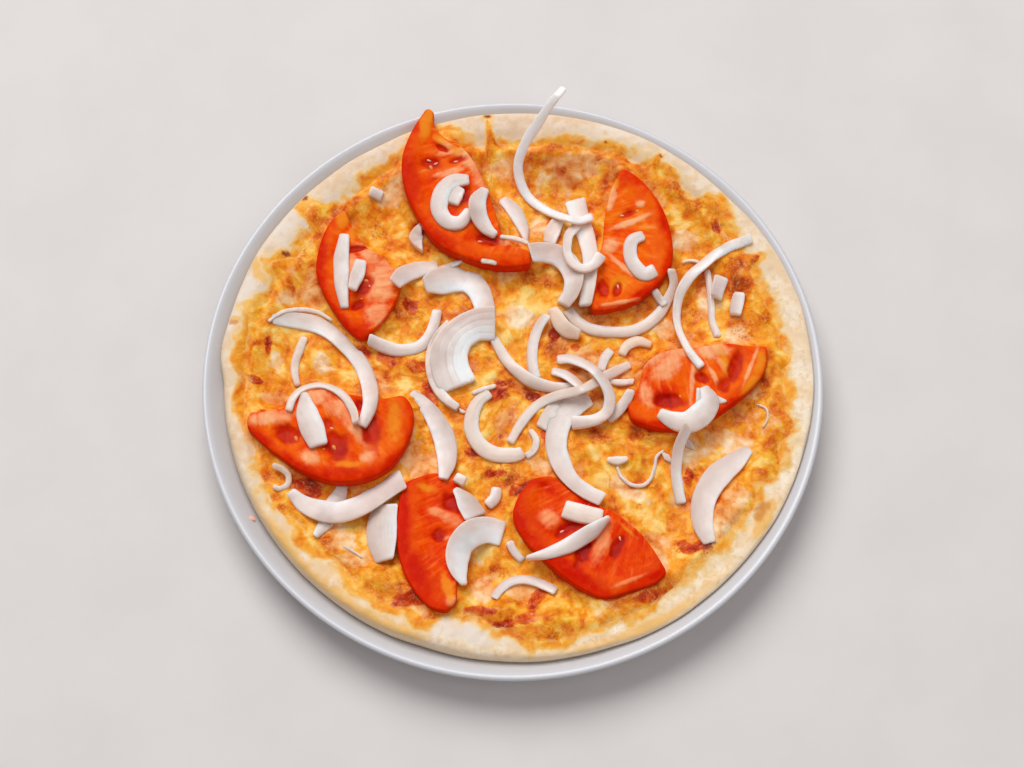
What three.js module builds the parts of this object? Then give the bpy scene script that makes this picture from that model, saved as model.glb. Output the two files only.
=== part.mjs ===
import * as THREE from "three";

// Driving sizes in millimetres. The origin is the plate's centre on the table, +Y points away from
// the viewer and +Z up.
const plateRadius = 155;
const plateHeight = 22;
const plateThickness = 4.6;
const plateFloor = 5.2;
const wellRadius = 118;
const crestRadius = 152.4;
const footInnerRadius = 84;
const footOuterRadius = 93;
const footRecess = 2.4;

const pizzaCentre = new THREE.Vector2(2.9, 1.8);
const pizzaRadius = 146.8;
const doughThickness = 4.6;
const crownHeight = 24.2;
const cheeseThickness = 4.2;
const cheeseEdgeThickness = 1.1;
const cheeseLeast = 1.5;
const tomatoThickness = 5.6;
const onionThickness = 3.6;

// The dough's rim: shares of the way from the cheese to the edge with how far each lies under the crown,
// the drop where the cheese ends, and the rounded outer edge.
const rimProfile = [[0.76, 0.4], [0.45, 0], [0.2, 1.6]];
const rimDrop = 5.4;
const doughEdge = { inset: 0.8, low: 1.8, high: 3.4, drop: 2.6 };

const gap = 0.3;
const wallClearance = 0.014;
const restingGap = 0.4;
const platePanels = 60;
const pizzaPanels = 72;
const onionStep = 5.8;
const onionSag = 0.7;
const stiffLift = 0.8;
const mostRoll = 0.6;
const liftedShare = 0.55;

// How the photograph looks at the plate, to read places off it in its 1024 by 768 pixels.
const view = { focal: 2011.4, middle: [512, 384], tilt: 68.46, distance: 1000, aim: [-0.35, -5.36, 23] };

// How far out the cheese reaches: degrees anticlockwise from +X, and millimetres from the middle.
const cheeseReach = [
  [0, 134], [8, 133], [20, 131], [27, 137], [34, 133], [43, 139], [50, 134], [58, 139], [64, 132],
  [74, 132], [84, 131], [90, 129], [99, 129], [106, 139], [114, 138], [122, 132], [130, 136], [138, 145],
  [146, 132], [151, 138], [159, 133], [168, 140], [180, 141], [190, 138], [202, 138], [212, 138],
  [222, 136], [231, 133], [240, 136], [250, 135], [259, 129], [270, 135], [278, 140], [290, 137],
  [302, 135], [312, 132], [322, 134], [334, 134], [340, 138], [348, 139], [354, 134],
];

// How far the dough's outer edge stands out of its circle, by the same angles.
const edgeSwell = [
  [0, 0.2], [22, 0.4], [42, -1.2], [60, -0.2], [90, -0.3], [120, 0.2], [140, 1.2], [155, 2], [176, 2.6],
  [183, 0.3], [200, 0.6], [225, 0.2], [245, 0.2], [252, -0.5], [270, -0.3], [300, -0.8], [330, -1.2],
  [345, -0.6],
];

// Lumps of melted cheese: where each is seen, its radius and its height.
const cheeseLumps = [
  { seen: [318, 207], radius: 9, height: 2.6 }, { seen: [385, 580], radius: 13, height: 4 },
  { seen: [503, 612], radius: 10, height: 3.2 }, { seen: [555, 618], radius: 13, height: 4.2 },
  { seen: [410, 312], radius: 9, height: 2 }, { seen: [245, 345], radius: 12, height: 2.6 },
  { seen: [705, 205], radius: 12, height: 2.6 }, { seen: [740, 285], radius: 12, height: 2.4 },
  { seen: [765, 320], radius: 9, height: 2.2 }, { seen: [550, 275], radius: 9, height: 1.6 },
  { seen: [320, 345], radius: 14, height: 1.4 }, { seen: [640, 455], radius: 12, height: 1.6 },
  { seen: [725, 520], radius: 13, height: 2.6 }, { seen: [565, 172], radius: 14, height: 2.2 },
  { seen: [420, 440], radius: 11, height: 1.6 }, { seen: [600, 612], radius: 10, height: 2 },
  { seen: [290, 520], radius: 9, height: 2 }, { seen: [780, 440], radius: 9, height: 2 },
];
const scatteredLumps = { count: 60, radius: [7, 12], height: [0.5, 1.5], seed: 11 };

// Tomato half slices: points along the skin and back along the cut, as they are seen.
const tomatoSlices = {
  tomato_upper_left: {
    skin: [[428, 109], [413, 130], [403, 158], [404, 186], [417, 218], [437, 245], [470, 262], [505, 270],
      [531, 266]],
    cut: [[530, 246], [512, 222], [497, 195], [480, 166], [458, 138], [437, 128]],
  },
  tomato_left_upper: {
    skin: [[345, 208], [330, 222], [320, 244], [316, 270], [322, 290], [334, 311], [348, 329], [362, 341]],
    cut: [[374, 329], [388, 314], [398, 295], [400, 280], [388, 262], [366, 246], [352, 228]],
  },
  tomato_left_lower: {
    skin: [[246, 427], [262, 443], [284, 460], [308, 474], [335, 482], [362, 480], [386, 470], [402, 452],
      [412, 430], [413, 410], [405, 394]],
    cut: [[380, 399], [345, 393], [318, 388], [298, 395], [283, 407], [262, 411], [249, 412]],
  },
  tomato_upper_right: {
    skin: [[622, 167], [638, 177], [653, 193], [665, 213], [672, 238], [672, 262], [660, 282], [640, 299],
      [615, 309], [592, 312]],
    cut: [[588, 292], [593, 268], [602, 245], [605, 215], [611, 188]],
  },
  tomato_bottom_left: {
    skin: [[404, 482], [398, 505], [396, 530], [398, 552], [404, 573], [415, 592], [430, 607], [446, 612]],
    cut: [[457, 602], [456, 580], [449, 560], [452, 538], [466, 520], [462, 498], [455, 477], [432, 472]],
  },
  tomato_bottom: {
    skin: [[532, 478], [518, 497], [513, 515], [522, 537], [540, 556], [560, 574], [582, 589], [604, 598],
      [632, 591], [656, 583], [668, 573]],
    cut: [[655, 551], [640, 532], [618, 514], [597, 504], [573, 492], [553, 475]],
  },
  tomato_right: {
    skin: [[632, 400], [634, 420], [655, 429], [680, 431], [704, 424], [726, 409], [748, 393], [764, 375],
      [769, 350]],
    cut: [[748, 349], [728, 343], [695, 347], [660, 348], [640, 354], [640, 378]],
  },
};

// Pieces of sliced onion from the lowest to the topmost: points along the middle as they are seen, widths
// from end to end in millimetres, and how far a free end stands up.
const onionPieces = {
  onion_petal_top: {
    seen: [[575, 198], [583, 225], [590, 250], [589, 280], [585, 303]], widths: [11, 8, 6.5],
  },
  onion_fork_top: {
    seen: [[530, 250], [545, 250], [558, 253], [569, 263], [574, 276], [571, 290], [563, 301]],
    widths: [9.5, 10, 10, 8],
  },
  onion_hook_top: {
    seen: [[577, 222], [569, 233], [567, 245], [571, 257], [582, 264], [594, 261], [602, 252]],
    widths: [5, 4.5, 5, 6],
  },
  onion_long_top: {
    seen: [[556, 96], [543, 110], [525, 140], [518, 170], [528, 193], [550, 209], [580, 215], [593, 213]],
    widths: [4, 4.5, 5, 4.5, 4.5], lift: 28,
  },
  onion_curl_upper_left: {
    seen: [[468, 178], [453, 181], [441, 193], [439, 207], [447, 219], [460, 219], [470, 208]],
    widths: [5, 7, 8.5, 7, 6, 5],
  },
  onion_bow_upper_left: {
    seen: [[484, 188], [477, 200], [478, 213], [486, 225], [496, 232]], widths: [4, 8, 8, 6.5, 3.5],
  },
  onion_drop_upper_left: { seen: [[502, 197], [513, 207], [521, 221], [527, 240]], widths: [5, 8.5, 6.5, 2] },
  onion_cube_upper_left: { seen: [[370, 189], [382, 194]], widths: [5.5, 5.5], thickness: 5 },
  onion_hook_on_tomato: {
    seen: [[644, 233], [633, 238], [630, 250], [634, 262], [645, 272], [656, 268]], widths: [5, 7, 7, 7.5, 7],
  },
  onion_half_ring_upper_right: {
    seen: [[568, 308], [578, 320], [595, 328], [620, 330], [640, 326], [655, 316], [667, 300], [674, 282],
      [672, 267]],
    widths: [6, 6, 5.5, 6, 6, 5, 4.5],
  },
  onion_stub_middle: { seen: [[553, 306], [558, 318], [566, 327], [580, 333]], widths: [5, 7, 7, 4] },
  onion_sliver_right: {
    seen: [[707, 268], [710, 281], [711, 300], [713, 320], [718, 335]], widths: [3, 3.5, 3.5, 3.5, 4],
  },
  onion_block_right: { seen: [[722, 274], [717, 294]], widths: [7.5, 6], thickness: 5 },
  onion_bean_right: { seen: [[740, 290], [738, 301], [736, 312]], widths: [5.5, 7.2, 5.5], thickness: 5 },
  onion_long_right: {
    seen: [[752, 236], [738, 242], [720, 250], [704, 262], [690, 275], [681, 290], [677, 308], [679, 326],
      [686, 342], [694, 355], [702, 365]],
    widths: [5, 5.5, 6, 5, 4.5, 4, 4, 4.5],
  },
  onion_strip_on_tomato: { seen: [[344, 232], [341, 255], [341, 280], [344, 306]], widths: [5, 8, 7.5, 4] },
  onion_chip_on_tomato: { seen: [[361, 258], [357, 272], [352, 287]], widths: [6, 7, 4] },
  onion_end_upper: { seen: [[394, 281], [405, 272], [420, 267], [438, 265]], widths: [6, 8.5, 8.5, 6] },
  onion_broad_arc: {
    seen: [[424, 283], [440, 279], [455, 277], [468, 279], [478, 288], [483, 300], [485, 312]],
    widths: [6, 13, 14, 13, 12, 11, 10],
  },
  onion_bow_middle_left: {
    seen: [[368, 337], [380, 343], [392, 347], [405, 348], [418, 345], [428, 336], [434, 322], [437, 308]],
    widths: [5, 6.5, 6.5, 6.5, 6, 5.5, 5],
  },
  onion_layered_half_ring: {
    seen: [[494, 322], [474, 323], [457, 332], [447, 348], [447, 366], [456, 384]],
    widths: [11, 13, 16, 20, 21, 22], thickness: 5.5,
  },
  onion_short_bow: {
    seen: [[547, 313], [540, 323], [535, 335], [532, 350], [533, 365], [536, 377]],
    widths: [5, 5.5, 5.5, 5.5],
  },
  onion_bow_middle: {
    seen: [[494, 336], [500, 348], [508, 360], [520, 371], [535, 380], [552, 385], [575, 386]],
    widths: [4.5, 5.5, 5.5, 5.5, 5, 4.5],
  },
  onion_stub_middle_right: {
    seen: [[552, 369], [565, 372], [577, 380], [586, 388]], widths: [4, 5.5, 5.5, 4],
  },
  onion_petal_arc: {
    seen: [[590, 396], [574, 404], [563, 416], [557, 432], [557, 448], [562, 463], [572, 478], [587, 490],
      [603, 498]],
    widths: [8, 12, 12, 11, 10.5, 10, 9, 9, 8.5],
  },
  onion_edge_right: { seen: [[631, 388], [626, 399], [617, 410], [608, 418]], widths: [4.5, 6, 6, 4] },
  onion_stub_right: { seen: [[611, 348], [604, 357], [601, 369]], widths: [4.5, 5, 4] },
  onion_half_ring_middle: {
    seen: [[490, 391], [480, 398], [473, 410], [471, 425], [475, 437], [485, 448], [500, 453], [515, 453],
      [523, 450]],
    widths: [4.5, 6, 7, 7.5, 7.5, 8, 8, 8, 6],
  },
  onion_long_strip_middle: {
    seen: [[630, 362], [612, 371], [595, 380], [575, 388], [555, 394], [538, 403], [525, 416], [516, 430],
      [510, 441]],
    widths: [4, 4.5, 4.5, 4.5, 5, 5, 4],
  },
  onion_half_ring_right: {
    seen: [[557, 358], [570, 357], [585, 362], [597, 370], [606, 383], [610, 396], [607, 409], [597, 417],
      [585, 420], [572, 420]],
    widths: [4.5, 5.5, 5.5, 5.5, 5.5, 6, 6, 6.5],
  },
  onion_pink_arc: { seen: [[622, 353], [627, 344], [638, 339], [652, 343]], widths: [4, 5.5, 5.5, 3] },
  onion_crescent_middle_left: {
    seen: [[411, 391], [422, 401], [433, 414], [441, 428], [446, 445], [447, 460], [443, 477]],
    widths: [5, 7, 9.5, 11, 11, 9, 4.5],
  },
  onion_thin_strip_left: {
    seen: [[304, 335], [299, 347], [295, 360], [294, 372], [297, 384]], widths: [4, 4.5, 4, 4, 3],
  },
  onion_wedge_on_tomato: { seen: [[306, 395], [309, 412], [313, 430], [317, 443]], widths: [5, 10.5, 11, 8] },
  onion_big_arc_left: {
    seen: [[272, 318], [290, 318], [310, 321], [328, 329], [343, 341], [355, 354], [364, 369], [369, 385],
      [370, 400], [366, 414], [361, 424]],
    widths: [5, 8, 9, 8.5, 8, 8, 8, 8, 8, 7, 5],
  },
  onion_thin_arc_left: {
    seen: [[288, 409], [292, 397], [300, 388], [312, 384], [325, 384], [337, 389], [347, 398], [353, 410],
      [355, 420]],
    widths: [3.5, 4, 3.5, 3.5, 3.5, 4, 4, 4, 3.5],
  },
  onion_hook_left: {
    seen: [[272, 464], [281, 467], [288, 474], [287, 483], [279, 488], [273, 486]], widths: [2.5, 3, 3, 2.5],
    thickness: 3,
  },
  onion_slip_lower_left: { seen: [[345, 482], [336, 500], [326, 520], [315, 536]], widths: [3, 10, 8, 3] },
  onion_petal_lower_left: { seen: [[384, 508], [382, 530], [386, 557]], widths: [12, 15.5, 14, 6] },
  onion_big_arc_lower_left: {
    seen: [[290, 490], [303, 502], [320, 508], [338, 511], [355, 507], [372, 498], [388, 487], [402, 479]],
    widths: [5, 9, 12, 11.5, 11, 12, 13, 10],
  },
  onion_petal_bottom: { seen: [[455, 487], [465, 498], [476, 515]], widths: [3, 11, 12] },
  onion_knob_bottom: { seen: [[497, 486], [495, 496], [487, 504]], widths: [5, 6, 5] },
  onion_curl_bottom: {
    seen: [[503, 533], [488, 528], [473, 531], [461, 542], [457, 557], [459, 571], [464, 583]],
    widths: [13, 12.5, 12, 11.5, 11.5, 9, 3],
  },
  onion_stick_bottom: { seen: [[509, 540], [515, 550], [523, 559]], widths: [4, 5, 4] },
  onion_block_bottom: { seen: [[566, 507], [580, 512], [594, 515]], widths: [7, 9.5, 6], thickness: 5 },
  onion_crescent_bottom: {
    seen: [[526, 556], [548, 552], [570, 543], [590, 531], [610, 514]], widths: [2, 6, 8, 7, 2],
  },
  onion_arc_bottom: {
    seen: [[494, 597], [500, 588], [509, 581], [521, 578], [535, 580], [547, 585], [556, 590]],
    widths: [4, 4.5, 4.5, 4.5, 5, 4.5],
  },
  onion_crescent_right: {
    seen: [[750, 447], [734, 461], [718, 474], [708, 489], [703, 506], [704, 524], [710, 542]],
    widths: [5, 11, 13, 12.5, 11.5, 10, 6],
  },
  onion_saddle_right: {
    seen: [[660, 413], [673, 418], [687, 419], [700, 411], [706, 399], [705, 386]],
    widths: [5, 9, 11, 10, 8, 4],
  },
  onion_strip_right: {
    seen: [[690, 421], [684, 433], [679, 446], [677, 461], [677, 476], [679, 490], [682, 502]],
    widths: [5, 5, 5.5, 5.5, 5.5, 5.5, 5],
  },
};

const materials = {
  plate: { color: "#cfd2d6", roughness: 0.18, metalness: 0 },
  dough: { color: "#e6cba2", roughness: 0.8, metalness: 0 },
  cheese: { color: "#dc9038", roughness: 0.42, metalness: 0 },
  tomato: { color: "#d8360d", roughness: 0.25, metalness: 0 },
  onion: { color: "#e4d9d3", roughness: 0.35, metalness: 0 },
};

const turn = 2 * Math.PI;

// Interpolates a list of values evenly spread over 0 to 1.
function spread(values, t) {
  const place = t * (values.length - 1);
  const i = Math.min(Math.floor(place), values.length - 2);
  return values[i] + (values[i + 1] - values[i]) * (place - i);
}

// Interpolates [degrees, value] pairs round the whole circle with soft steps.
function aroundCircle(pairs, angle) {
  const degrees = ((angle / turn) % 1 + 1) % 1 * 360;
  const next = pairs.findIndex(([d]) => d > degrees);
  const b = next < 0 ? [360, pairs[0][1]] : pairs[next];
  const a = pairs[(next < 0 ? pairs.length : next) - 1];
  return THREE.MathUtils.lerp(a[1], b[1], THREE.MathUtils.smoothstep(degrees, a[0], b[0]));
}

// A repeatable source of numbers between 0 and 1.
function randomFrom(seed) {
  let state = seed;
  return () => {
    state = (state * 1664525 + 1013904223) % 4294967296;
    return state / 4294967296;
  };
}

// The point of a level plane that is seen at a pixel of the photograph.
function seenPoint([px, py], height) {
  const tilt = THREE.MathUtils.degToRad(view.tilt);
  const ahead = new THREE.Vector3(0, Math.cos(tilt), -Math.sin(tilt));
  const up = new THREE.Vector3(0, Math.sin(tilt), Math.cos(tilt));
  const eye = new THREE.Vector3(...view.aim).addScaledVector(ahead, -view.distance);
  const ray = ahead.clone().addScaledVector(up, (view.middle[1] - py) / view.focal);
  ray.x += (px - view.middle[0]) / view.focal;
  return eye.addScaledVector(ray, (height - eye.z) / ray.z);
}

// The plate's upper surface: a flat well and a wall that steepens up to the crest.
function wellHeight(radius) {
  const up = Math.max(0, (radius - wellRadius) / (crestRadius - wellRadius));
  return plateFloor + (plateHeight - plateFloor) * up ** 2;
}

// A closed surface from rings of points, each ring a list of the same length; both ends are capped.
// The slant says which diagonal splits the panels, so that two surfaces can lie close together.
function closeRings(rings, slant = 0) {
  const count = rings[0].length;
  const points = rings.flat();
  const faces = [];
  for (let k = 0; k + 1 < rings.length; k++) {
    for (let i = 0; i < count; i++) {
      const a = k * count + i;
      const b = k * count + (i + 1) % count;
      if (slant) faces.push(a, b, a + count, b, b + count, a + count);
      else faces.push(a, b, b + count, a, b + count, a + count);
    }
  }
  const caps = [[0, 1], [(rings.length - 1) * count, -1]];
  for (const [start, side] of caps) {
    const middle = new THREE.Vector3();
    for (let i = 0; i < count; i++) middle.addScaledVector(points[start + i], 1 / count);
    points.push(middle);
    for (let i = 0; i < count; i++) {
      const a = start + i;
      const b = start + (i + 1) % count;
      faces.push(points.length - 1, side > 0 ? b : a, side > 0 ? a : b);
    }
  }
  const geometry = new THREE.BufferGeometry();
  geometry.setAttribute("position", new THREE.Float32BufferAttribute(points.flatMap((p) => p.toArray()), 3));
  geometry.setIndex(faces);
  return geometry;
}

// A map of the highest surface met so far, in square cells, on which the next piece is laid.
class Relief {
  constructor() {
    this.cell = 0.5;
    this.half = 170;
    this.side = 2 * this.half / this.cell;
    this.tops = new Float32Array(this.side ** 2);
  }

  index(x, y) {
    const column = Math.round((x + this.half) / this.cell);
    const row = Math.round((y + this.half) / this.cell);
    return row * this.side + column;
  }

  // Raises the cells under every triangle of a shape, and their neighbours.
  add(geometry) {
    const position = geometry.getAttribute("position");
    const index = geometry.getIndex();
    const [a, b, c, p] = [0, 1, 2, 3].map(() => new THREE.Vector3());
    for (let f = 0; f < index.count; f += 3) {
      a.fromBufferAttribute(position, index.getX(f));
      b.fromBufferAttribute(position, index.getX(f + 1)).sub(a);
      c.fromBufferAttribute(position, index.getX(f + 2)).sub(a);
      const steps = Math.ceil(Math.max(b.length(), c.length()) / (0.7 * this.cell)) + 1;
      for (let i = 0; i <= steps; i++) {
        for (let j = 0; i + j <= steps; j++) {
          p.copy(a).addScaledVector(b, i / steps).addScaledVector(c, j / steps);
          this.raise(p);
        }
      }
    }
  }

  raise(p) {
    const middle = this.index(p.x, p.y);
    for (const row of [-this.side, 0, this.side]) {
      for (const column of [-1, 0, 1]) {
        const k = middle + row + column;
        this.tops[k] = Math.max(this.tops[k], p.z);
      }
    }
  }

  top(x, y) {
    return this.tops[this.index(x, y)];
  }
}

// The plate: one turned body with a foot ring, a flat well and a rounded lip.
function plateGeometry() {
  const radii = [0, 0.28, 0.5, 0.7, 0.86, 1].map((s) => wellRadius + (crestRadius - wellRadius) * s);
  const inside = radii.map((r) => [r, wellHeight(r)]);
  const outside = radii.slice(0, 5).map((r) => [r + 1.8, wellHeight(r) - plateThickness + 1.4]);
  const underside = [
    [0, footRecess], [footInnerRadius - 2, footRecess], [footInnerRadius, 0.4], [footInnerRadius + 1, 0],
    [footOuterRadius - 1, 0], [footOuterRadius, 0.4], [footOuterRadius + 3, 1.8],
  ];
  const lip = [[plateRadius - 0.4, plateHeight - 3.2], [plateRadius, plateHeight - 1.6],
    [plateRadius - 0.8, plateHeight - 0.2]];
  const profile = [...underside, ...outside, ...lip, ...inside.reverse(), [0, plateFloor]];
  const lathe = new THREE.LatheGeometry(profile.map(([r, z]) => new THREE.Vector2(r, z)), platePanels);
  lathe.rotateX(Math.PI / 2);
  return lathe;
}

// How far out the dough and the cheese reach at an angle round the pizza.
const doughReach = (angle) => pizzaRadius + aroundCircle(edgeSwell, angle);
const cheeseEnd = (angle) => aroundCircle(cheeseReach, angle);

function pizzaPoint(angle, radius, height) {
  const x = pizzaCentre.x + radius * Math.cos(angle);
  const y = pizzaCentre.y + radius * Math.sin(angle);
  return new THREE.Vector3(x, y, height(Math.hypot(x, y), x, y));
}

function ringAround(radiusAt, height) {
  const ring = [];
  for (let i = 0; i < pizzaPanels; i++) {
    const angle = i / pizzaPanels * turn;
    ring.push(pizzaPoint(angle, radiusAt(angle), height));
  }
  return ring;
}

// The dough's underside keeps clear of the plate, a little more where the wall is steep.
const doughBottom = (r) => wellHeight(r) + gap + Math.max(0, r - wellRadius) * wallClearance;
const doughTop = (r) => Math.max(doughBottom(r), plateFloor) + doughThickness;
const cheeseBedRings = [0.05, 0.35, 0.65, 0.86];

// The height of the dough where the cheese ends, half way up the inner side of the rim.
function cheeseLine(r) {
  return Math.max(doughTop(r) + cheeseLeast, crownHeight - rimDrop);
}

// The dough: a thin middle and a risen rim that leans on the plate's wall.
function doughGeometry() {
  const between = (t) => (angle) => THREE.MathUtils.lerp(cheeseEnd(angle), doughReach(angle), t);
  const shoulder = (r) => Math.max(doughBottom(r) + doughEdge.high, crownHeight - doughEdge.drop);
  const rings = [
    ...[0.05, 0.78, 0.86, 0.92, 0.965, 0.99].map((s) => ringAround((a) => doughReach(a) * s, doughBottom)),
    ringAround(doughReach, (r) => doughBottom(r) + doughEdge.low),
    ringAround((a) => doughReach(a) - doughEdge.inset, shoulder),
    ...rimProfile.map(([share, drop]) => ringAround(between(share), () => crownHeight - drop)),
    ringAround(cheeseEnd, cheeseLine),
    ...cheeseBedRings.toReversed().map((s) => ringAround((a) => cheeseEnd(a) * s, doughTop)),
  ];
  return closeRings(rings);
}

// The melted cheese with sauce: its lumps, low swells and thin edge.
function lumpHeights() {
  const random = randomFrom(scatteredLumps.seed);
  const within = ([low, high]) => low + (high - low) * random();
  const lumps = cheeseLumps.map(({ seen, radius, height }) => {
    const at = seenPoint(seen, doughTop(0) + cheeseThickness);
    return { x: at.x, y: at.y, radius, height };
  });
  for (let i = 0; i < scatteredLumps.count; i++) {
    const angle = random() * turn;
    const out = Math.sqrt(random()) * pizzaRadius * 0.86;
    lumps.push({
      x: pizzaCentre.x + out * Math.cos(angle), y: pizzaCentre.y + out * Math.sin(angle),
      radius: within(scatteredLumps.radius), height: within(scatteredLumps.height),
    });
  }
  return lumps;
}

function cheeseGeometry() {
  const lumps = lumpHeights();
  const relief = (x, y) => lumps.reduce((sum, lump) => {
    const distance = Math.hypot(x - lump.x, y - lump.y) / lump.radius;
    return sum + (distance < 1 ? lump.height * (1 - distance ** 2) ** 2 : 0);
  }, 0);
  const film = gap + cheeseEdgeThickness;
  const top = (share) => (r, x, y) => {
    const rise = THREE.MathUtils.smoothstep(share, 0.78, 1);
    const level = THREE.MathUtils.lerp(doughTop(0) + cheeseThickness, cheeseLine(r) + film, rise);
    return Math.max(level, doughTop(r) + film) + relief(x, y) * (1 - 0.6 * rise);
  };
  const shares = [0.99, 0.96, 0.91, 0.85, 0.78, 0.7, 0.61, 0.52, 0.43, 0.33, 0.22, 0.1];
  const rings = [
    ...cheeseBedRings.map((s) => ringAround((a) => cheeseEnd(a) * s, (r) => doughTop(r) + gap)),
    ringAround(cheeseEnd, (r) => cheeseLine(r) + gap),
    ...shares.map((s) => ringAround((a) => cheeseEnd(a) * s, top(s))),
  ];
  return closeRings(rings, 1);
}

// A smooth line through points, cut into even steps.
function smoothLine(points, steps) {
  return new THREE.CatmullRomCurve3(points, false, "centripetal").getSpacedPoints(steps);
}

// A plane over a set of plan points: least squares to the relief, raised to clear it.
function restingPlane(relief, samples) {
  const mean = new THREE.Vector3();
  for (const p of samples) mean.add(p.setZ(relief.top(p.x, p.y)));
  mean.divideScalar(samples.length);
  let [xx, xy, yy, xz, yz] = [0, 0, 0, 0, 0];
  for (const p of samples) {
    const [x, y, z] = p.clone().sub(mean).toArray();
    xx += x * x;
    xy += x * y;
    yy += y * y;
    xz += x * z;
    yz += y * z;
  }
  const determinant = xx * yy - xy * xy;
  const slopeX = (xz * yy - yz * xy) / determinant;
  const slopeY = (yz * xx - xz * xy) / determinant;
  const plane = (x, y) => mean.z + slopeX * (x - mean.x) + slopeY * (y - mean.y);
  const lift = Math.max(...samples.map((p) => p.z - plane(p.x, p.y))) + restingGap;
  return (x, y) => plane(x, y) + lift;
}

const middleOf = (points) => {
  return points.reduce((sum, p) => sum.add(p), new THREE.Vector3()).divideScalar(points.length);
};

// A tomato slice: a flat body with a bulging skin side, lying on what is under it.
function tomatoGeometry({ skin, cut }, relief) {
  let base = () => doughTop(0) + cheeseThickness;
  let outline;
  for (let pass = 0; pass < 3; pass++) {
    const settle = (pixel) => {
      const first = seenPoint(pixel, base(0, 0) + tomatoThickness);
      return seenPoint(pixel, base(first.x, first.y) + tomatoThickness).setZ(0);
    };
    const skinLine = smoothLine(skin.map(settle), 14);
    const cutLine = smoothLine([skin.at(-1), ...cut, skin[0]].map(settle), 9).slice(1, -1);
    outline = [...skinLine, ...cutLine];
    if (THREE.ShapeUtils.area(outline) < 0) outline.reverse();
    const middle = middleOf(outline);
    const shares = [0.1, 0.3, 0.5, 0.65, 0.8, 0.9, 1, 1.03];
    base = restingPlane(relief, outline.flatMap((p) => shares.map((s) => middle.clone().lerp(p, s))));
  }
  const middle = middleOf(outline);
  const ring = (share, inset, height) => outline.map((p) => {
    const reach = p.distanceTo(middle);
    const q = middle.clone().lerp(p, share * (reach - inset) / reach);
    return q.setZ(base(q.x, q.y) + height);
  });
  return closeRings([
    ring(0.5, 0, 0), ring(1, 1.4, 0), ring(1, 0, tomatoThickness * 0.45), ring(1, 1, tomatoThickness * 0.92),
    ring(0.5, 0, tomatoThickness),
  ]);
}

// Points under one stretch of a strip, each with the weights of the stretch's four bottom corners.
function stretchSamples(line, sides, widths, i, relief) {
  const samples = [];
  for (let along = 0; along <= 1.001; along += 0.1) {
    const middle = line[i].clone().lerp(line[i + 1], along);
    const across = sides[i].clone().lerp(sides[i + 1], along);
    const width = THREE.MathUtils.lerp(widths[i], widths[i + 1], along);
    for (let side = -1; side <= 1.001; side += 0.2) {
      const q = middle.clone().addScaledVector(across, side * (width / 2 + 0.3));
      const [left, right] = [(1 - side) / 2, (1 + side) / 2];
      samples.push({
        top: relief.top(q.x, q.y) + restingGap,
        weights: [(1 - along) * left, (1 - along) * right, along * left, along * right],
      });
    }
  }
  return samples;
}

// Left and right heights along a strip that lies on the relief: it starts low, bends and rolls only so
// far, and is pushed up wherever it would touch what is under it.
function drapedHeights(line, sides, widths, relief) {
  const stretches = line.slice(1).map((p, i) => stretchSamples(line, sides, widths, i, relief));
  const lowest = Math.min(...stretches.flat().map((sample) => sample.top));
  const heights = new Array(2 * line.length).fill(lowest);
  const pushUp = () => {
    stretches.forEach((samples, i) => {
      for (const { top, weights } of samples) {
        const height = weights.reduce((sum, w, k) => sum + w * heights[2 * i + k], 0);
        const push = (top - height) / weights.reduce((sum, w) => sum + w * w, 0);
        if (push > 0) weights.forEach((w, k) => { heights[2 * i + k] += w * push; });
      }
    });
  };
  const rounds = 90;
  for (let round = 0; round < rounds; round++) {
    const sink = 1.2 * (1 - round / rounds) ** 2;
    heights.forEach((h, k) => { heights[k] = h - sink; });
    pushUp();
    for (let i = 0; i < line.length; i++) {
      const roll = (heights[2 * i] - heights[2 * i + 1]) / 2;
      const excess = Math.sign(roll) * Math.max(0, Math.abs(roll) - mostRoll * widths[i] / 2);
      heights[2 * i] -= excess;
      heights[2 * i + 1] += excess;
      for (const k of [0, 1]) {
        const at = (j) => heights[2 * j + k];
        let bridge;
        if (i === 0) bridge = 2 * at(1) - at(Math.min(2, line.length - 1)) - onionSag;
        else if (i === line.length - 1) bridge = 2 * at(i - 1) - at(Math.max(0, i - 2)) - onionSag;
        else bridge = (at(i - 1) + at(i + 1)) / 2 - onionSag;
        heights[2 * i + k] = Math.max(heights[2 * i + k], Math.min(bridge, at(i) + stiffLift));
      }
    }
  }
  for (let round = 0; round < 12; round++) pushUp();
  return heights;
}

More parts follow.
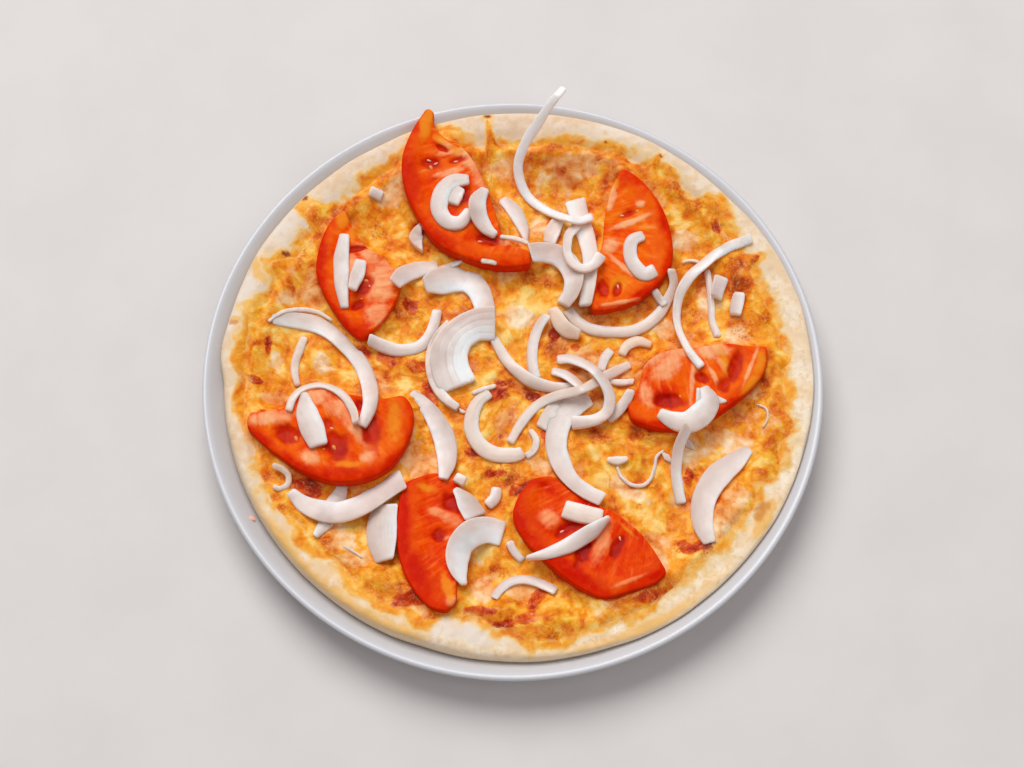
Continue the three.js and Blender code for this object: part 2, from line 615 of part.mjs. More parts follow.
// A piece of onion: a bent strip with slightly round sides.
function onionGeometry({ seen, widths, thickness = onionThickness, lift = 0 }, relief) {
  const seenLine = smoothLine(seen.map(([px, py]) => new THREE.Vector3(px, py, 0)), 60);
  const level = doughTop(0) + cheeseThickness;
  let heights = [level, level, level, level];
  let line;
  let sides;
  let lineWidths;
  for (let pass = 0; pass < 4; pass++) {
    const middles = heights.filter((h, k) => k % 2 === 0).map((h, i) => (h + heights[2 * i + 1]) / 2);
    const placed = seenLine.map((p, i) => {
      const rise = spread(middles, i / (seenLine.length - 1));
      return seenPoint([p.x, p.y], rise + thickness).setZ(0);
    });
    const length = placed.reduce((sum, p, i) => sum + (i ? p.distanceTo(placed[i - 1]) : 0), 0);
    const steps = Math.max(2, Math.round(length / onionStep));
    line = smoothLine(placed, steps);
    lineWidths = line.map((p, i) => spread(widths, i / steps));
    sides = line.map((p, i) => {
      const along = line[Math.min(steps, i + 1)].clone().sub(line[Math.max(0, i - 1)]).normalize();
      return new THREE.Vector3(-along.y, along.x, 0);
    });
    heights = drapedHeights(line, sides, lineWidths, relief)
      .map((h, k) => h + lift * Math.max(0, 1 - Math.floor(k / 2) / steps / liftedShare) ** 1.6);
  }
  const section = [[-0.42, 0], [-0.5, 0.45], [-0.4, 1], [0.4, 1], [0.5, 0.45], [0.42, 0]];
  const rings = line.map((p, i) => section.map(([side, up]) => {
    const base = THREE.MathUtils.lerp(heights[2 * i], heights[2 * i + 1], side + 0.5);
    const q = p.clone().addScaledVector(sides[i], side * lineWidths[i]);
    return q.setZ(base + up * thickness);
  }));
  return closeRings(rings.reverse());
}

const pizza = new THREE.Group();

function addPiece(name, geometry, material) {
  const mesh = new THREE.Mesh(geometry, new THREE.MeshStandardMaterial(material));
  mesh.name = name;
  pizza.add(mesh);
}

const relief = new Relief();
const dough = doughGeometry();
const cheese = cheeseGeometry();
relief.add(dough);
relief.add(cheese);
addPiece("plate", plateGeometry(), materials.plate);
addPiece("dough", dough, materials.dough);
addPiece("cheese_topping", cheese, materials.cheese);
for (const [name, slice] of Object.entries(tomatoSlices)) {
  const geometry = tomatoGeometry(slice, relief);
  relief.add(geometry);
  addPiece(name, geometry, materials.tomato);
}
for (const [name, piece] of Object.entries(onionPieces)) {
  const geometry = onionGeometry(piece, relief);
  relief.add(geometry);
  addPiece(name, geometry, materials.onion);
}

export default pizza;
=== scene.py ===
import math

import bpy
import numpy as np
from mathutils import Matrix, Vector


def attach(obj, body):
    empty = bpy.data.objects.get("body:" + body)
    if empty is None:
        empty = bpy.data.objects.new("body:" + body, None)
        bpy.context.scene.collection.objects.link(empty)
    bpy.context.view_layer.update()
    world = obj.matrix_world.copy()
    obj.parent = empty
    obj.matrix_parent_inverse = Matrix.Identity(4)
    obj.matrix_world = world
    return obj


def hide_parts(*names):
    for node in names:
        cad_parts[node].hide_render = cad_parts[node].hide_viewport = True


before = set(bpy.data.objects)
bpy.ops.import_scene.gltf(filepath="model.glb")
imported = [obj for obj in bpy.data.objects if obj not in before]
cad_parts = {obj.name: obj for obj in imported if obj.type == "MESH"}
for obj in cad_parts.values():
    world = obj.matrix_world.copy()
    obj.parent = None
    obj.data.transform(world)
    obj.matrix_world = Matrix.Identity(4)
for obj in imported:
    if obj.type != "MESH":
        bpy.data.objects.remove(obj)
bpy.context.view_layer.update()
mm = 0.001
turn = 2 * math.pi
print("frame loaded:", len(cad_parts), "nodes")

# The camera stands where the photograph was taken; lengths in mm, the middle and focal length in pixels.
shot = {"focal": 2011.4, "middle": (512, 384), "width": 1024, "tilt": 68.46, "distance": 1000.0,
        "aim": (-0.35, -5.36, 23.0), "sensor": 36.0}
tilt = math.radians(shot["tilt"])
ahead = np.array([0, math.cos(tilt), -math.sin(tilt)])
above = np.array([0, math.sin(tilt), math.cos(tilt)])
eye = np.array(shot["aim"]) - ahead * shot["distance"]


# The point of a level plane that a pixel shows: the eye plus the ray through the pixel, cut at a height.
def seenPoint(pixels, height):
    pixels = np.asarray(pixels, float)
    right = (pixels[..., 0] - shot["middle"][0]) / shot["focal"]
    rise = (shot["middle"][1] - pixels[..., 1]) / shot["focal"]
    ray = ahead + rise[..., None] * above + right[..., None] * np.array([1.0, 0, 0])
    reach = (np.asarray(height, float) - eye[2]) / ray[..., 2]
    return eye + reach[..., None] * ray


# The points of a surface that pixels show: its height is read anew at the points of the round before.
def seenOn(pixels, level, height, rounds=4):
    for _ in range(rounds):
        place = seenPoint(pixels, level)
        level = height(place[..., 0], place[..., 1])
    return place


# Where a point shows in the photograph, in pixels: its offset from the eye over its depth, times the focal
# length, from the picture's middle.
def pixelOf(points):
    away = points - eye
    depth = away @ ahead
    return np.stack([shot["middle"][0] + shot["focal"] * away[..., 0] / depth,
                     shot["middle"][1] - shot["focal"] * (away @ above) / depth], -1)


tile = 128  # the noises repeat after this many cells


# Soft noise: random values at the corners of square cells, joined by a smooth step; from -1 to 1.
def softNoise(x, y, cell, seed):
    values = np.random.default_rng(seed).random((tile, tile)) * 2 - 1
    gx, gy = np.asarray(x) / cell + tile / 2, np.asarray(y) / cell + tile / 2
    ix, iy = np.floor(gx).astype(int), np.floor(gy).astype(int)
    fx, fy = gx - ix, gy - iy
    fx, fy = fx * fx * (3 - 2 * fx), fy * fy * (3 - 2 * fy)
    at = lambda i, j: values[i % tile, j % tile]
    low = at(ix, iy) * (1 - fx) + at(ix + 1, iy) * fx
    high = at(ix, iy + 1) * (1 - fx) + at(ix + 1, iy + 1) * fx
    return low * (1 - fy) + high * fy


# Layered noise: soft noise added to itself, each layer with half the cell and half the strength.
def layeredNoise(x, y, cell, seed, layers):
    total = sum(softNoise(x, y, cell / 2 ** k, seed + k) / 2 ** k for k in range(layers))
    return total / sum(0.5 ** k for k in range(layers))


# Relief: layered noise times a height, with the cell, seed, layers and height as a setting gives them.
def relief(x, y, cell, seed, layers, height):
    return layeredNoise(x, y, cell, seed, layers) * height


# Cell noise: the distance to the nearest of points scattered one to a cell, and that point's own number.
def cellNoise(x, y, cell, seed):
    random = np.random.default_rng(seed)
    spots, own = random.random((tile, tile, 2)), random.random((tile, tile))
    gx, gy = np.asarray(x) / cell + tile / 2, np.asarray(y) / cell + tile / 2
    ix, iy = np.floor(gx).astype(int), np.floor(gy).astype(int)
    best, number = np.full(gx.shape, np.inf), np.zeros(gx.shape)
    for di in (-1, 0, 1):
        for dj in (-1, 0, 1):
            cx, cy = (ix + di) % tile, (iy + dj) % tile
            away = np.hypot(ix + di + spots[cx, cy, 0] - gx, iy + dj + spots[cx, cy, 1] - gy)
            number = np.where(away < best, own[cx, cy], number)
            best = np.minimum(best, away)
    return best, number


# Even angles round the whole circle.
def roundAngles(count):
    return np.arange(count) / count * turn


# A smooth step: 0 below low, 1 above high, and a soft S between them.
def smoothStep(low, high, value):
    share = np.clip((value - low) / (high - low), 0, 1)
    return share * share * (3 - 2 * share)


# Interpolates (degrees, value) pairs round the whole circle with soft steps.
def aroundCircle(pairs, angle):
    degrees = np.degrees(angle) % 360
    known = np.array([*pairs, (360, pairs[0][1])], float)
    k = np.clip(np.searchsorted(known[:, 0], degrees, side="right") - 1, 0, len(known) - 2)
    share = smoothStep(known[k, 0], known[k + 1, 0], degrees)
    return known[k, 1] * (1 - share) + known[k + 1, 1] * share


# The way gone along a line at each of its points.
def wayAlong(line):
    return np.concatenate([[0], np.cumsum(np.linalg.norm(np.diff(line, axis=0), axis=1))])


# A smooth line through points: a spline whose knots are the square roots of the gaps, cut evenly.
def smoothLine(points, count):
    points = np.asarray(points, float)
    padded = np.vstack([2 * points[0] - points[1], points, 2 * points[-1] - points[-2]])
    knots = np.concatenate([[0], np.cumsum(np.sqrt(np.linalg.norm(np.diff(padded, axis=0), axis=1)))])
    stretches = []
    for k in range(1, len(padded) - 2):
        p0, p1, p2, p3 = padded[k - 1:k + 3]
        t0, t1, t2, t3 = knots[k - 1:k + 3]
        t = np.linspace(t1, t2, 24, endpoint=k == len(padded) - 3)[:, None]
        a1 = (t1 - t) / (t1 - t0) * p0 + (t - t0) / (t1 - t0) * p1
        a2 = (t2 - t) / (t2 - t1) * p1 + (t - t1) / (t2 - t1) * p2
        a3 = (t3 - t) / (t3 - t2) * p2 + (t - t2) / (t3 - t2) * p3
        b1 = (t2 - t) / (t2 - t0) * a1 + (t - t0) / (t2 - t0) * a2
        b2 = (t3 - t) / (t3 - t1) * a2 + (t - t1) / (t3 - t1) * a3
        stretches.append((t2 - t) / (t2 - t1) * b1 + (t - t1) / (t2 - t1) * b2)
    line = np.vstack(stretches)
    length = wayAlong(line)
    even = np.linspace(0, length[-1], count)
    return np.stack([np.interp(even, length, line[:, k]) for k in range(line.shape[1])], -1)


# Panels between neighbouring rings, and a fan of triangles round the middle of each end ring.
def ringFaces(rings, around):
    k, i = np.meshgrid(np.arange(rings - 1), np.arange(around), indexing="ij")
    a, b = k * around + i, k * around + (i + 1) % around
    quads = np.stack([a, b, b + around, a + around], -1).reshape(-1, 4)
    i = np.arange(around)
    last = (rings - 1) * around
    first = np.stack([np.full(around, rings * around), (i + 1) % around, i], -1)
    final = np.stack([np.full(around, rings * around + 1), last + i, last + (i + 1) % around], -1)
    return quads, np.vstack([first, final])


# A closed skin over rings of points: the two end rings are capped at their middles.
def ringShape(rings, fields):
    count, around = rings.shape[:2]
    caps = np.stack([rings[0].mean(0), rings[-1].mean(0)])
    points = np.vstack([rings.reshape(-1, 3), caps])
    quads, triangles = ringFaces(count, around)
    spread = {}
    for name, values in fields.items():
        ends = np.stack([values[0].mean(0), values[-1].mean(0)])
        spread[name] = np.concatenate([values.reshape(-1, *values.shape[2:]), ends])
    return {"points": points, "quads": quads, "triangles": triangles, "fields": spread}


# Several shapes as one, with missing fields filled by zeros.
def joinShapes(shapes):
    names = {name: shape["fields"][name].shape[1:] for shape in shapes for name in shape["fields"]}
    starts = np.cumsum([0] + [len(shape["points"]) for shape in shapes])
    fields = {}
    for name, tail in names.items():
        fields[name] = np.concatenate([
            shape["fields"].get(name, np.zeros((len(shape["points"]), *tail))) for shape in shapes])
    return {"points": np.vstack([shape["points"] for shape in shapes]),
            "quads": np.vstack([shape["quads"] + start for shape, start in zip(shapes, starts)]),
            "triangles": np.vstack([shape["triangles"] + start for shape, start in zip(shapes, starts)]),
            "fields": fields}


# Puts a shape given in mm into a new object, with its fields as attributes, and finishes the frame's rows.
def addPiece(name, shape, material, nodes=()):
    mesh = bpy.data.meshes.new(name)
    points, quads, triangles = shape["points"] * mm, shape["quads"], shape["triangles"]
    loops = np.concatenate([quads.ravel(), triangles.ravel()])
    starts = np.concatenate([np.arange(len(quads)) * 4, len(quads) * 4 + np.arange(len(triangles)) * 3])
    mesh.vertices.add(len(points))
    mesh.vertices.foreach_set("co", points.ravel())
    mesh.loops.add(len(loops))
    mesh.loops.foreach_set("vertex_index", loops.astype(np.int32))
    mesh.polygons.add(len(starts))
    mesh.polygons.foreach_set("loop_start", starts.astype(np.int32))
    mesh.update(calc_edges=True)
    mesh.validate()
    mesh.polygons.foreach_set("use_smooth", np.ones(len(starts), bool))
    for field, values in shape["fields"].items():
        kind = "FLOAT_VECTOR" if values.ndim == 2 else "FLOAT"
        layer = mesh.attributes.new(field, kind, "POINT")
        layer.data.foreach_set("vector" if values.ndim == 2 else "value", values.astype(np.float32).ravel())
    mesh.materials.append(material)
    piece = bpy.data.objects.new(name, mesh)
    bpy.context.scene.collection.objects.link(piece)
    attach(piece, "root")
    if nodes:
        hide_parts(*nodes)


# A CAD node's points in mm.
def nodePoints(node):
    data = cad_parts[node].data
    points = np.zeros(len(data.vertices) * 3, np.float32)
    data.vertices.foreach_get("co", points)
    return np.unique(np.round(points.reshape(-1, 3) / mm, 3), axis=0)


slopeCalm = 0.02  # keeps the slopes small where a node has too few points near by


# The plane nearest to a node's points, each weighed by how close it is: height and the two slopes.
def nearPlane(points, x, y, reach):
    away = np.hypot(points[None, :, 0] - x[:, None], points[None, :, 1] - y[:, None])
    weight = np.exp(-(away / reach) ** 2 / 2) + 1e-9
    dx, dy = points[None, :, 0] - x[:, None], points[None, :, 1] - y[:, None]
    basis = np.stack([np.ones_like(dx), dx, dy], -1)
    square = np.einsum("nk,nki,nkj->nij", weight, basis, basis)
    square += np.diag([0, slopeCalm, slopeCalm]) * weight.sum(1)[:, None, None]
    target = np.einsum("nk,nki,k->ni", weight, basis, points[:, 2])
    return np.linalg.solve(square, target[..., None])[..., 0]


class Field:  # one number socket of a shader, so that shader maths reads as a formula
    def __init__(self, shader, socket):
        self.shader = shader
        self.socket = socket

    def __add__(self, other):
        return self.shader.maths("ADD", self, other)

    def __sub__(self, other):
        return self.shader.maths("SUBTRACT", self, other)

    def __rsub__(self, other):
        return self.shader.maths("SUBTRACT", other, self)

    def __mul__(self, other):
        return self.shader.maths("MULTIPLY", self, other)

    __radd__ = __add__


class Shader:  # the nodes of one material
    def __init__(self, name):
        self.material = bpy.data.materials.new(name)
        self.material.use_nodes = True
        self.tree = self.material.node_tree
        self.surface = next(n for n in self.tree.nodes if n.type == "BSDF_PRINCIPLED")
        self.place = self.node("ShaderNodeTexCoord", {}, {}, "Object")

    # Adds a node: its settings first, then the value or link of each socket; gives back one output.
    def node(self, kind, settings, sockets, output=0):
        node = self.tree.nodes.new(kind)
        for key, value in settings.items():
            setattr(node, key, value)
        for key, value in sockets.items():
            self.feed(node.inputs[key], value)
        return Field(self, node.outputs[output])

    # Links a field to a socket, or sets the socket's value; a colour is given as it looks on a screen.
    def feed(self, socket, value):
        if isinstance(value, Field):
            self.tree.links.new(value.socket, socket)
        else:
            socket.default_value = (*tone(*value), 1) if socket.type == "RGBA" else value

    # One operation on two numbers, each a field or a value.
    def maths(self, operation, a, b):
        return self.node("ShaderNodeMath", {"operation": operation}, {0: a, 1: b})

    # Mixes two colours by a factor from 0 to 1.
    def mix(self, a, b, factor):
        return self.node("ShaderNodeMix", {"data_type": "RGBA"}, {0: factor, 6: a, 7: b}, 2)

    # Lays coats over a colour, one after the other, each a colour and its factor.
    def paint(self, colour, *coats):
        for coat, factor in coats:
            colour = self.mix(colour, coat, factor)
        return colour

    # A colour read from stops, each a number from 0 to 1 and a tone.
    def ramp(self, value, stops):
        node = self.tree.nodes.new("ShaderNodeValToRGB")
        for k, (at, colour) in enumerate(stops):
            stop = node.color_ramp.elements[k] if k < 2 else node.color_ramp.elements.new(at)
            stop.position, stop.color = at, (*tone(*colour), 1)
        self.feed(node.inputs["Fac"], value)
        return Field(self, node.outputs["Color"])

    # Moves a number from one range to 0 to 1, clamped.
    def between(self, value, low, high):
        return self.node("ShaderNodeMapRange", {"interpolation_type": "SMOOTHSTEP"},
                         {0: value, 1: low, 2: high, 3: 0.0, 4: 1.0})

    # Noise of a size in mm, from 0 to 1. A vector that is given has its coordinates in mm.
    def noise(self, size, detail, rough=0.55, vector=None, warp=0.0):
        sockets = {"Vector": vector or self.place, "Scale": 1 / (size if vector else size * mm),
                   "Detail": detail, "Roughness": rough, "Distortion": warp}
        return self.node("ShaderNodeTexNoise", {}, sockets, "Fac")

    # A field that the mesh carries at its vertices.
    def attribute(self, name, output="Fac"):
        return self.node("ShaderNodeAttribute", {"attribute_name": name}, {}, output)

    def attributes(self, *names):
        return [self.attribute(name) for name in names]

    # Sets the surface's sockets; a bump is given as (height, strength, depth in mm).
    def finish(self, bump=None, **sockets):
        if bump:
            height, strength, depth = bump
            sockets["Normal"] = self.node("ShaderNodeBump", {}, {
                "Height": height, "Strength": strength, "Distance": depth * mm}, "Normal")
        for name, value in sockets.items():
            self.feed(self.surface.inputs[name.replace("_", " ")], value)
        return self.material


# Turns a colour as it looks on a screen, 0 to 255, into the shader's linear numbers.
def tone(red, green, blue):
    return tuple(float(c / 12.92 if c <= 0.04045 else ((c + 0.055) / 1.055) ** 2.4)
                 for c in (red / 255, green / 255, blue / 255))


# How far each pixel lies inside a set of patches: 1 in the heart of one, softly down to 0, with ragged
# edges. A patch is its middle, its half length, its half width if it isn't round, and its turn in degrees.
def patchField(pixels, patches, ragged, seed, reach=1.2, soft=0.75):
    px, py = pixels[..., 0], pixels[..., 1]
    edge = ragged * layeredNoise(px, py, 9, seed, 3)
    total = np.zeros(px.shape)
    for x, y, long, *rest in patches:
        wide, angle = *rest, *(long, 0)[len(rest):]
        c, s = math.cos(math.radians(angle)), math.sin(math.radians(angle))
        u, v = (px - x) * c + (py - y) * s, (py - y) * c - (px - x) * s
        away = np.hypot(u / long, v / wide)
        total = np.maximum(total, smoothStep(0, soft, reach - away + edge))
    return total


# Points of a cross-section with round corners, as shares and offsets, counter-clockwise from the bottom:
# across = flat * (half width - radius) + radius * arcX,
# up = radius + level * (thickness - 2 radius) + radius * arcZ.
def roundSection(bottom, corner, top):
    arc = np.linspace(0, math.pi / 2, corner + 1)
    low, high = np.linspace(-1, 1, bottom)[1:-1], np.linspace(1, -1, top)[1:-1]
    flat = np.concatenate([low, np.ones(2 * corner + 2), high, -np.ones(2 * corner + 2)])
    level = np.concatenate([low * 0, np.zeros(corner + 1), np.ones(corner + 1), high * 0 + 1,
                            np.ones(corner + 1), np.zeros(corner + 1)])
    angle = np.concatenate([low * 0 - math.pi / 2, arc - math.pi / 2, arc, high * 0 + math.pi / 2,
                            arc + math.pi / 2, arc + math.pi])
    return {"flat": flat, "level": level, "arcX": np.cos(angle), "arcZ": np.sin(angle)}


# Turns a closed shape's faces over when they point inwards, which its signed volume tells.
def faceOutward(shape):
    points = shape["points"]
    triangles = np.vstack([shape["triangles"], shape["quads"][:, :3], shape["quads"][:, [0, 2, 3]]])
    a, b, c = (points[triangles[:, k]] for k in range(3))
    if np.einsum("ij,ij->", a, np.cross(b, c)) < 0:
        shape["quads"] = shape["quads"][:, ::-1]
        shape["triangles"] = shape["triangles"][:, ::-1]
    return shape


# Carried bodies: their least sizes in mm, the shares of them that a corner may take, where the top begins,
# and how fast the sinking of the underside fades with the height.
body = {"half": 0.15, "tall": 0.3, "edge": 0.3, "side": 0.9, "corner": 0.45, "top": 0.6, "sunk": 3}


# A body carried along a line: a section with round corners, whose width and base height change on the way.
# Its ends are round: the inset is the end radius less the root of its square less the missing way's square.
def carriedBody(line, side, width, base, roll, thickness, section, radius, endRadius, sink=0.0):
    gone = wayAlong(line)
    near = np.minimum(gone, gone[-1] - gone)
    inset = endRadius - np.sqrt(np.maximum(0, endRadius ** 2 - np.maximum(0, endRadius - near) ** 2))
    half = np.maximum(width / 2 - inset, body["half"])[:, None]
    tall = np.maximum(thickness - inset, body["tall"])[:, None]
    bend = np.minimum(np.minimum(radius, half * body["side"]), tall * body["corner"])
    across = section["flat"] * (half - bend) + bend * section["arcX"]
    up = bend + section["level"] * (tall - 2 * bend) + bend * section["arcZ"]
    up = up + (inset / 2)[:, None] - sink * (1 - np.clip(up / tall * body["sunk"], 0, 1))
    place = line[:, None, :2] + across[..., None] * side[:, None, :]
    height = base[:, None] + roll[:, None] * across + up
    rings = np.concatenate([place, height[..., None]], -1)
    fields = {"along": np.broadcast_to(gone[:, None], across.shape), "across": across,
              "edge": np.abs(across) / np.maximum(width[:, None] / 2, body["edge"]),
              "top": np.clip((up / thickness - body["top"]) / (1 - body["top"]), 0, 1)}
    return rings, fields


# The plate: a turned profile with softened corners, in mm. The lip's are counted from its radius and height.
plate = {"radius": 155.0, "height": 22.0, "thickness": 4.6, "floor": 5.2, "well": 118.0, "crest": 152.4,
         "foot": (84.0, 93.0), "recess": 2.4, "around": 288, "step": 0.7, "sparse": 5,
         "straight": 0.012, "outset": (1.8, 1.4), "paintedLipLight": (146, 153), "bare": (0.9, 0.2), "wall": 12,
         "lipGap": 0.8, "soften": 3,
         "lip": [(-0.5, -3.2), (0, -1.8), (0, -1.0), (-0.5, -0.3), (-1.5, 0)]}


# The plate's upper surface: a flat well and a wall that steepens up to the crest.
def wellHeight(r):
    up = np.maximum(0, (r - plate["well"]) / (plate["crest"] - plate["well"]))
    return plate["floor"] + (plate["height"] - plate["floor"]) * up ** 2


# The plate: its profile's corners cut evenly, softened three times, thinned where it is straight and turned.
def plateShape():
    inner, outer = plate["foot"]
    wall = np.linspace(0, 1, plate["wall"])
    wall = plate["well"] + (plate["crest"] - plate["lipGap"] - plate["well"]) * wall
    under = [[0.5, plate["recess"]], [inner - 2, plate["recess"]], [inner, 0.4], [inner + 1, 0],
             [outer - 1, 0], [outer, 0.4], [outer + 3, 1.8]]
    out, up = plate["outset"]
    outside = np.stack([wall[:-1] + out, wellHeight(wall[:-1]) - plate["thickness"] + up], -1)
    lip = np.array(plate["lip"]) + (plate["radius"], plate["height"])
    inside = np.stack([wall, wellHeight(wall)], -1)[::-1]
    corners = np.vstack([under, outside, lip, inside, [[0.5, plate["floor"]]]])
    length = wayAlong(corners)
    even = np.linspace(0, length[-1], int(length[-1] / plate["step"]))
    profile = np.stack([np.interp(even, length, corners[:, k]) for k in (0, 1)], -1)
    for _ in range(plate["soften"]):
        profile[1:-1] = (profile[:-2] + 2 * profile[1:-1] + profile[2:]) / 4
    bend = np.linalg.norm(profile[:-2] - 2 * profile[1:-1] + profile[2:], axis=1)
    bent = np.flatnonzero(bend > plate["straight"]) + 1
    kept = np.union1d(np.arange(0, len(profile), plate["sparse"]), [*bent, 0, len(profile) - 1])
    profile = profile[kept.astype(int)]
    angle = roundAngles(plate["around"])
    r, z = profile[:, 0, None], profile[:, 1, None]
    rings = np.stack([r * np.cos(angle), r * np.sin(angle), z + 0 * angle], -1)
    foot = smoothStep(*plate["bare"], z + 0 * angle)
    # The lip field: 0 on the inner wall, 1 on the lip; the glaze paints the lip lighter and the wall darker
    # as painted light and shade.
    lip = smoothStep(*plate["paintedLipLight"], r + 0 * angle)
    return faceOutward(ringShape(rings, {"foot": foot, "lip": lip}))


# White glaze: faint clouds, a lip painted lighter as painted light, an inner wall painted darker as painted
# shade, few specks, and the bare foot.
def plateGlaze():
    s = Shader("whiteGlaze")
    cloud = s.between(s.noise(46, 2), 0.35, 0.7)
    speck = s.between(s.noise(0.9, 2), 0.74, 0.8)
    lip, foot = s.attributes("lip", "foot")
    white = s.paint((198, 195, 198), ((204, 201, 202), cloud), ((212, 211, 216), lip),
                    ((150, 146, 140), speck * 0.25), ((190, 184, 174), foot))
    rough = 0.26 + s.noise(30, 3) * 0.06 + foot * 0.5
    return s.finish(bump=(s.noise(24, 2), 0.05, 1.0), Base_Color=white, Roughness=rough, Coat_Weight=0.15,
                    Coat_Roughness=0.15)


addPiece("plateGlazed", plateShape(), plateGlaze(), ("plate",))
print("plate made")

# The pizza's base: where its rim and its cheese end round the circle, in degrees and mm.
dough = {
    "centre": (2.9, 1.8), "radius": 146.8, "thickness": 4.6, "crown": 24.2, "dip": 3.0, "round": 3.0,
    "clear": 0.3, "slant": 0.014, "around": 720, "calm": 16, "startGap": 0.4,
    "leastLine": 1.5, "footLift": 0.4, "meeting": 0.92, "wobbleReach": 90, "edgeWidth": 7, "paleAndLitEdgeWidth": 2.4,
    "puffs": (17, 31, 2, 0.55), "grain": (2.6, 35, 2, 0.12), "wobble": (11, 37, 1, 0.35),
    "bubbles": (9, 33), "bubbleSize": 0.35, "bubbleHeight": 1.4, "ragged": (8, 41, 4),
    "edgeRings": 26, "crownRings": 22, "tuck": 0.3,
    "under": [0.02, 0.35, 0.7, 0.84, 0.89, 0.93, 0.96, 0.98, 0.992],
    "over": [0.985, 0.96, 0.92, 0.86, 0.7, 0.4, 0.02],
    "swell": [(0, 0.2), (22, 0.4), (42, -1.2), (60, -0.2), (90, -0.3), (120, 0.2), (140, 1.2), (155, 2),
        (176, 2.6), (183, 0.3), (200, 0.6), (225, 0.2), (245, 0.2), (252, -0.5), (270, -0.3), (300, -0.2),
        (330, -0.6), (345, -0.4)],
    "cheeseReach": [(0, 133), (3, 138), (5, 134), (9, 134), (20, 131), (25, 133), (27, 139), (29, 134),
        (35, 131.5), (40, 137), (42, 140), (48, 133), (50, 135), (57, 137), (58.5, 142), (60, 134),
        (63, 132), (67, 135), (72, 132), (80, 132), (87, 128), (95, 130), (96.5, 139), (98, 128),
        (102, 133), (106, 141), (112, 140), (118, 137), (120, 133), (126, 132), (131, 130), (134, 130),
        (136.5, 135), (139, 143), (141.5, 142), (144, 132), (150, 130), (152, 134), (155, 139), (159, 133),
        (163, 135), (167, 142), (171, 139), (175, 140), (178, 144), (182, 137), (188, 140), (196, 136),
        (203, 139), (212, 139), (216, 134), (221, 137), (230, 132), (236, 137), (243, 137), (247, 133),
        (251, 138), (255, 130), (260, 127.5), (265, 132.5), (273, 139), (280, 140.5), (285, 137),
        (297, 136), (303, 136), (310, 132), (318, 132), (325, 133), (328, 135), (333, 133), (337, 138),
        (343, 137), (348, 141), (352, 134)],
    "browned": [(0, 0.1), (60, 0.15), (100, 0.05), (130, 0.0), (200, 0.1), (220, 0.9), (246, 1.0),
        (257, 0.05), (270, 0.15), (284, 0.7), (296, 1.0), (306, 0.6), (322, 0.2), (345, 0.1)],
    "middle": [(0, 0.74), (30, 0.62), (200, 0.62), (235, 0.68), (270, 0.72), (300, 0.74), (330, 0.74)],
    "fall": [(0, 1.2), (30, 0.4), (60, 0), (210, 0), (245, 0.8), (270, 2.6), (300, 3.8), (330, 3.2),
        (347, 2)],
    # Painted light: how much lighter the crust is painted round the circle, most at the lower right.
    "paintedLight": [(0, 0.8), (35, 0.45), (60, 0.2), (90, 0.0), (140, 0.1), (180, 0.2), (225, 0.5), (270, 0.8),
        (300, 1), (340, 1)],
    "gold": [(755, 261, 10, 6, -15), (717, 230, 9), (660, 157, 7), (655, 168, 12, 8, -30), (606, 142, 4),
        (617, 150, 5), (487, 117, 6, 5), (489, 130, 5, 14), (312, 203, 14, 9, 20), (285, 253, 12, 5, 10),
        (240, 319, 15, 4), (222, 378, 5), (552, 636, 16, 10), (764, 516, 11, 20, 25),
        (262, 272, 18, 12, 40), (780, 370, 8, 14), (470, 657, 6, 2, 10), (515, 661, 4, 2)],
    "char": [(755, 261, 5, 3, -15), (717, 226, 6), (661, 156, 2), (606, 142, 2), (487, 116, 4, 3),
        (304, 198, 5, 3), (310, 227, 1.6), (305, 222, 1), (286, 254, 6, 3, 20), (552, 636, 9, 6),
        (478, 658, 3, 1.5), (516, 661, 3, 1.5), (738, 262, 8, 4, 10)],
    "toast": [(761, 512, 8, 16, 25), (233, 322, 6, 3)],
    "flour": [(470, 630, 60, 16, 8), (240, 300, 16, 40, 20), (280, 225, 30, 18, -40),
        (620, 130, 30, 8, 15)],
}


# How far out the dough reaches at an angle round the pizza: its radius and the swell there.
def doughReach(angle):
    return dough["radius"] + aroundCircle(dough["swell"], angle)


# How far out the cheese reaches at an angle.
def cheeseEnd(angle):
    return aroundCircle(dough["cheeseReach"], angle)


# Where the rim starts to rise: the least reach of the cheese within a few degrees, evened out.
def rimLine():
    angles = roundAngles(dough["around"])
    near = np.arange(-dough["calm"], dough["calm"] + 1)
    least = np.min([np.roll(cheeseEnd(angles), k) for k in near], axis=0)
    return angles, np.mean([np.roll(least, k) for k in near], axis=0) - dough["startGap"]


rimAngles, rimRadii = rimLine()


# Where the rim starts to rise at any angle, read from the line above.
def rimStart(angle):
    return np.interp(angle, rimAngles, rimRadii, period=turn)


# The dough's underside: a gap over the plate's surface that widens with the way past the well.
def doughBottom(r):
    return wellHeight(r) + dough["clear"] + np.maximum(0, r - plate["well"]) * dough["slant"]


# The dough's upper side under the cheese: the underside, nowhere below the plate's floor, and the thickness.
def doughTop(r):
    return np.maximum(doughBottom(r), plate["floor"]) + dough["thickness"]


# The height of the dough where the cheese ends, on the inner side of the rim.
def cheeseLine(r):
    return np.maximum(doughTop(r) + dough["leastLine"], dough["crown"] - dough["dip"])


# The meeting of dough and cheese: the dough's top, rising to that height over the last 8% of the way out.
def underCheese(r, share):
    part = smoothStep(dough["meeting"], 1, share)
    return doughTop(r) * (1 - part) + cheeseLine(r) * part


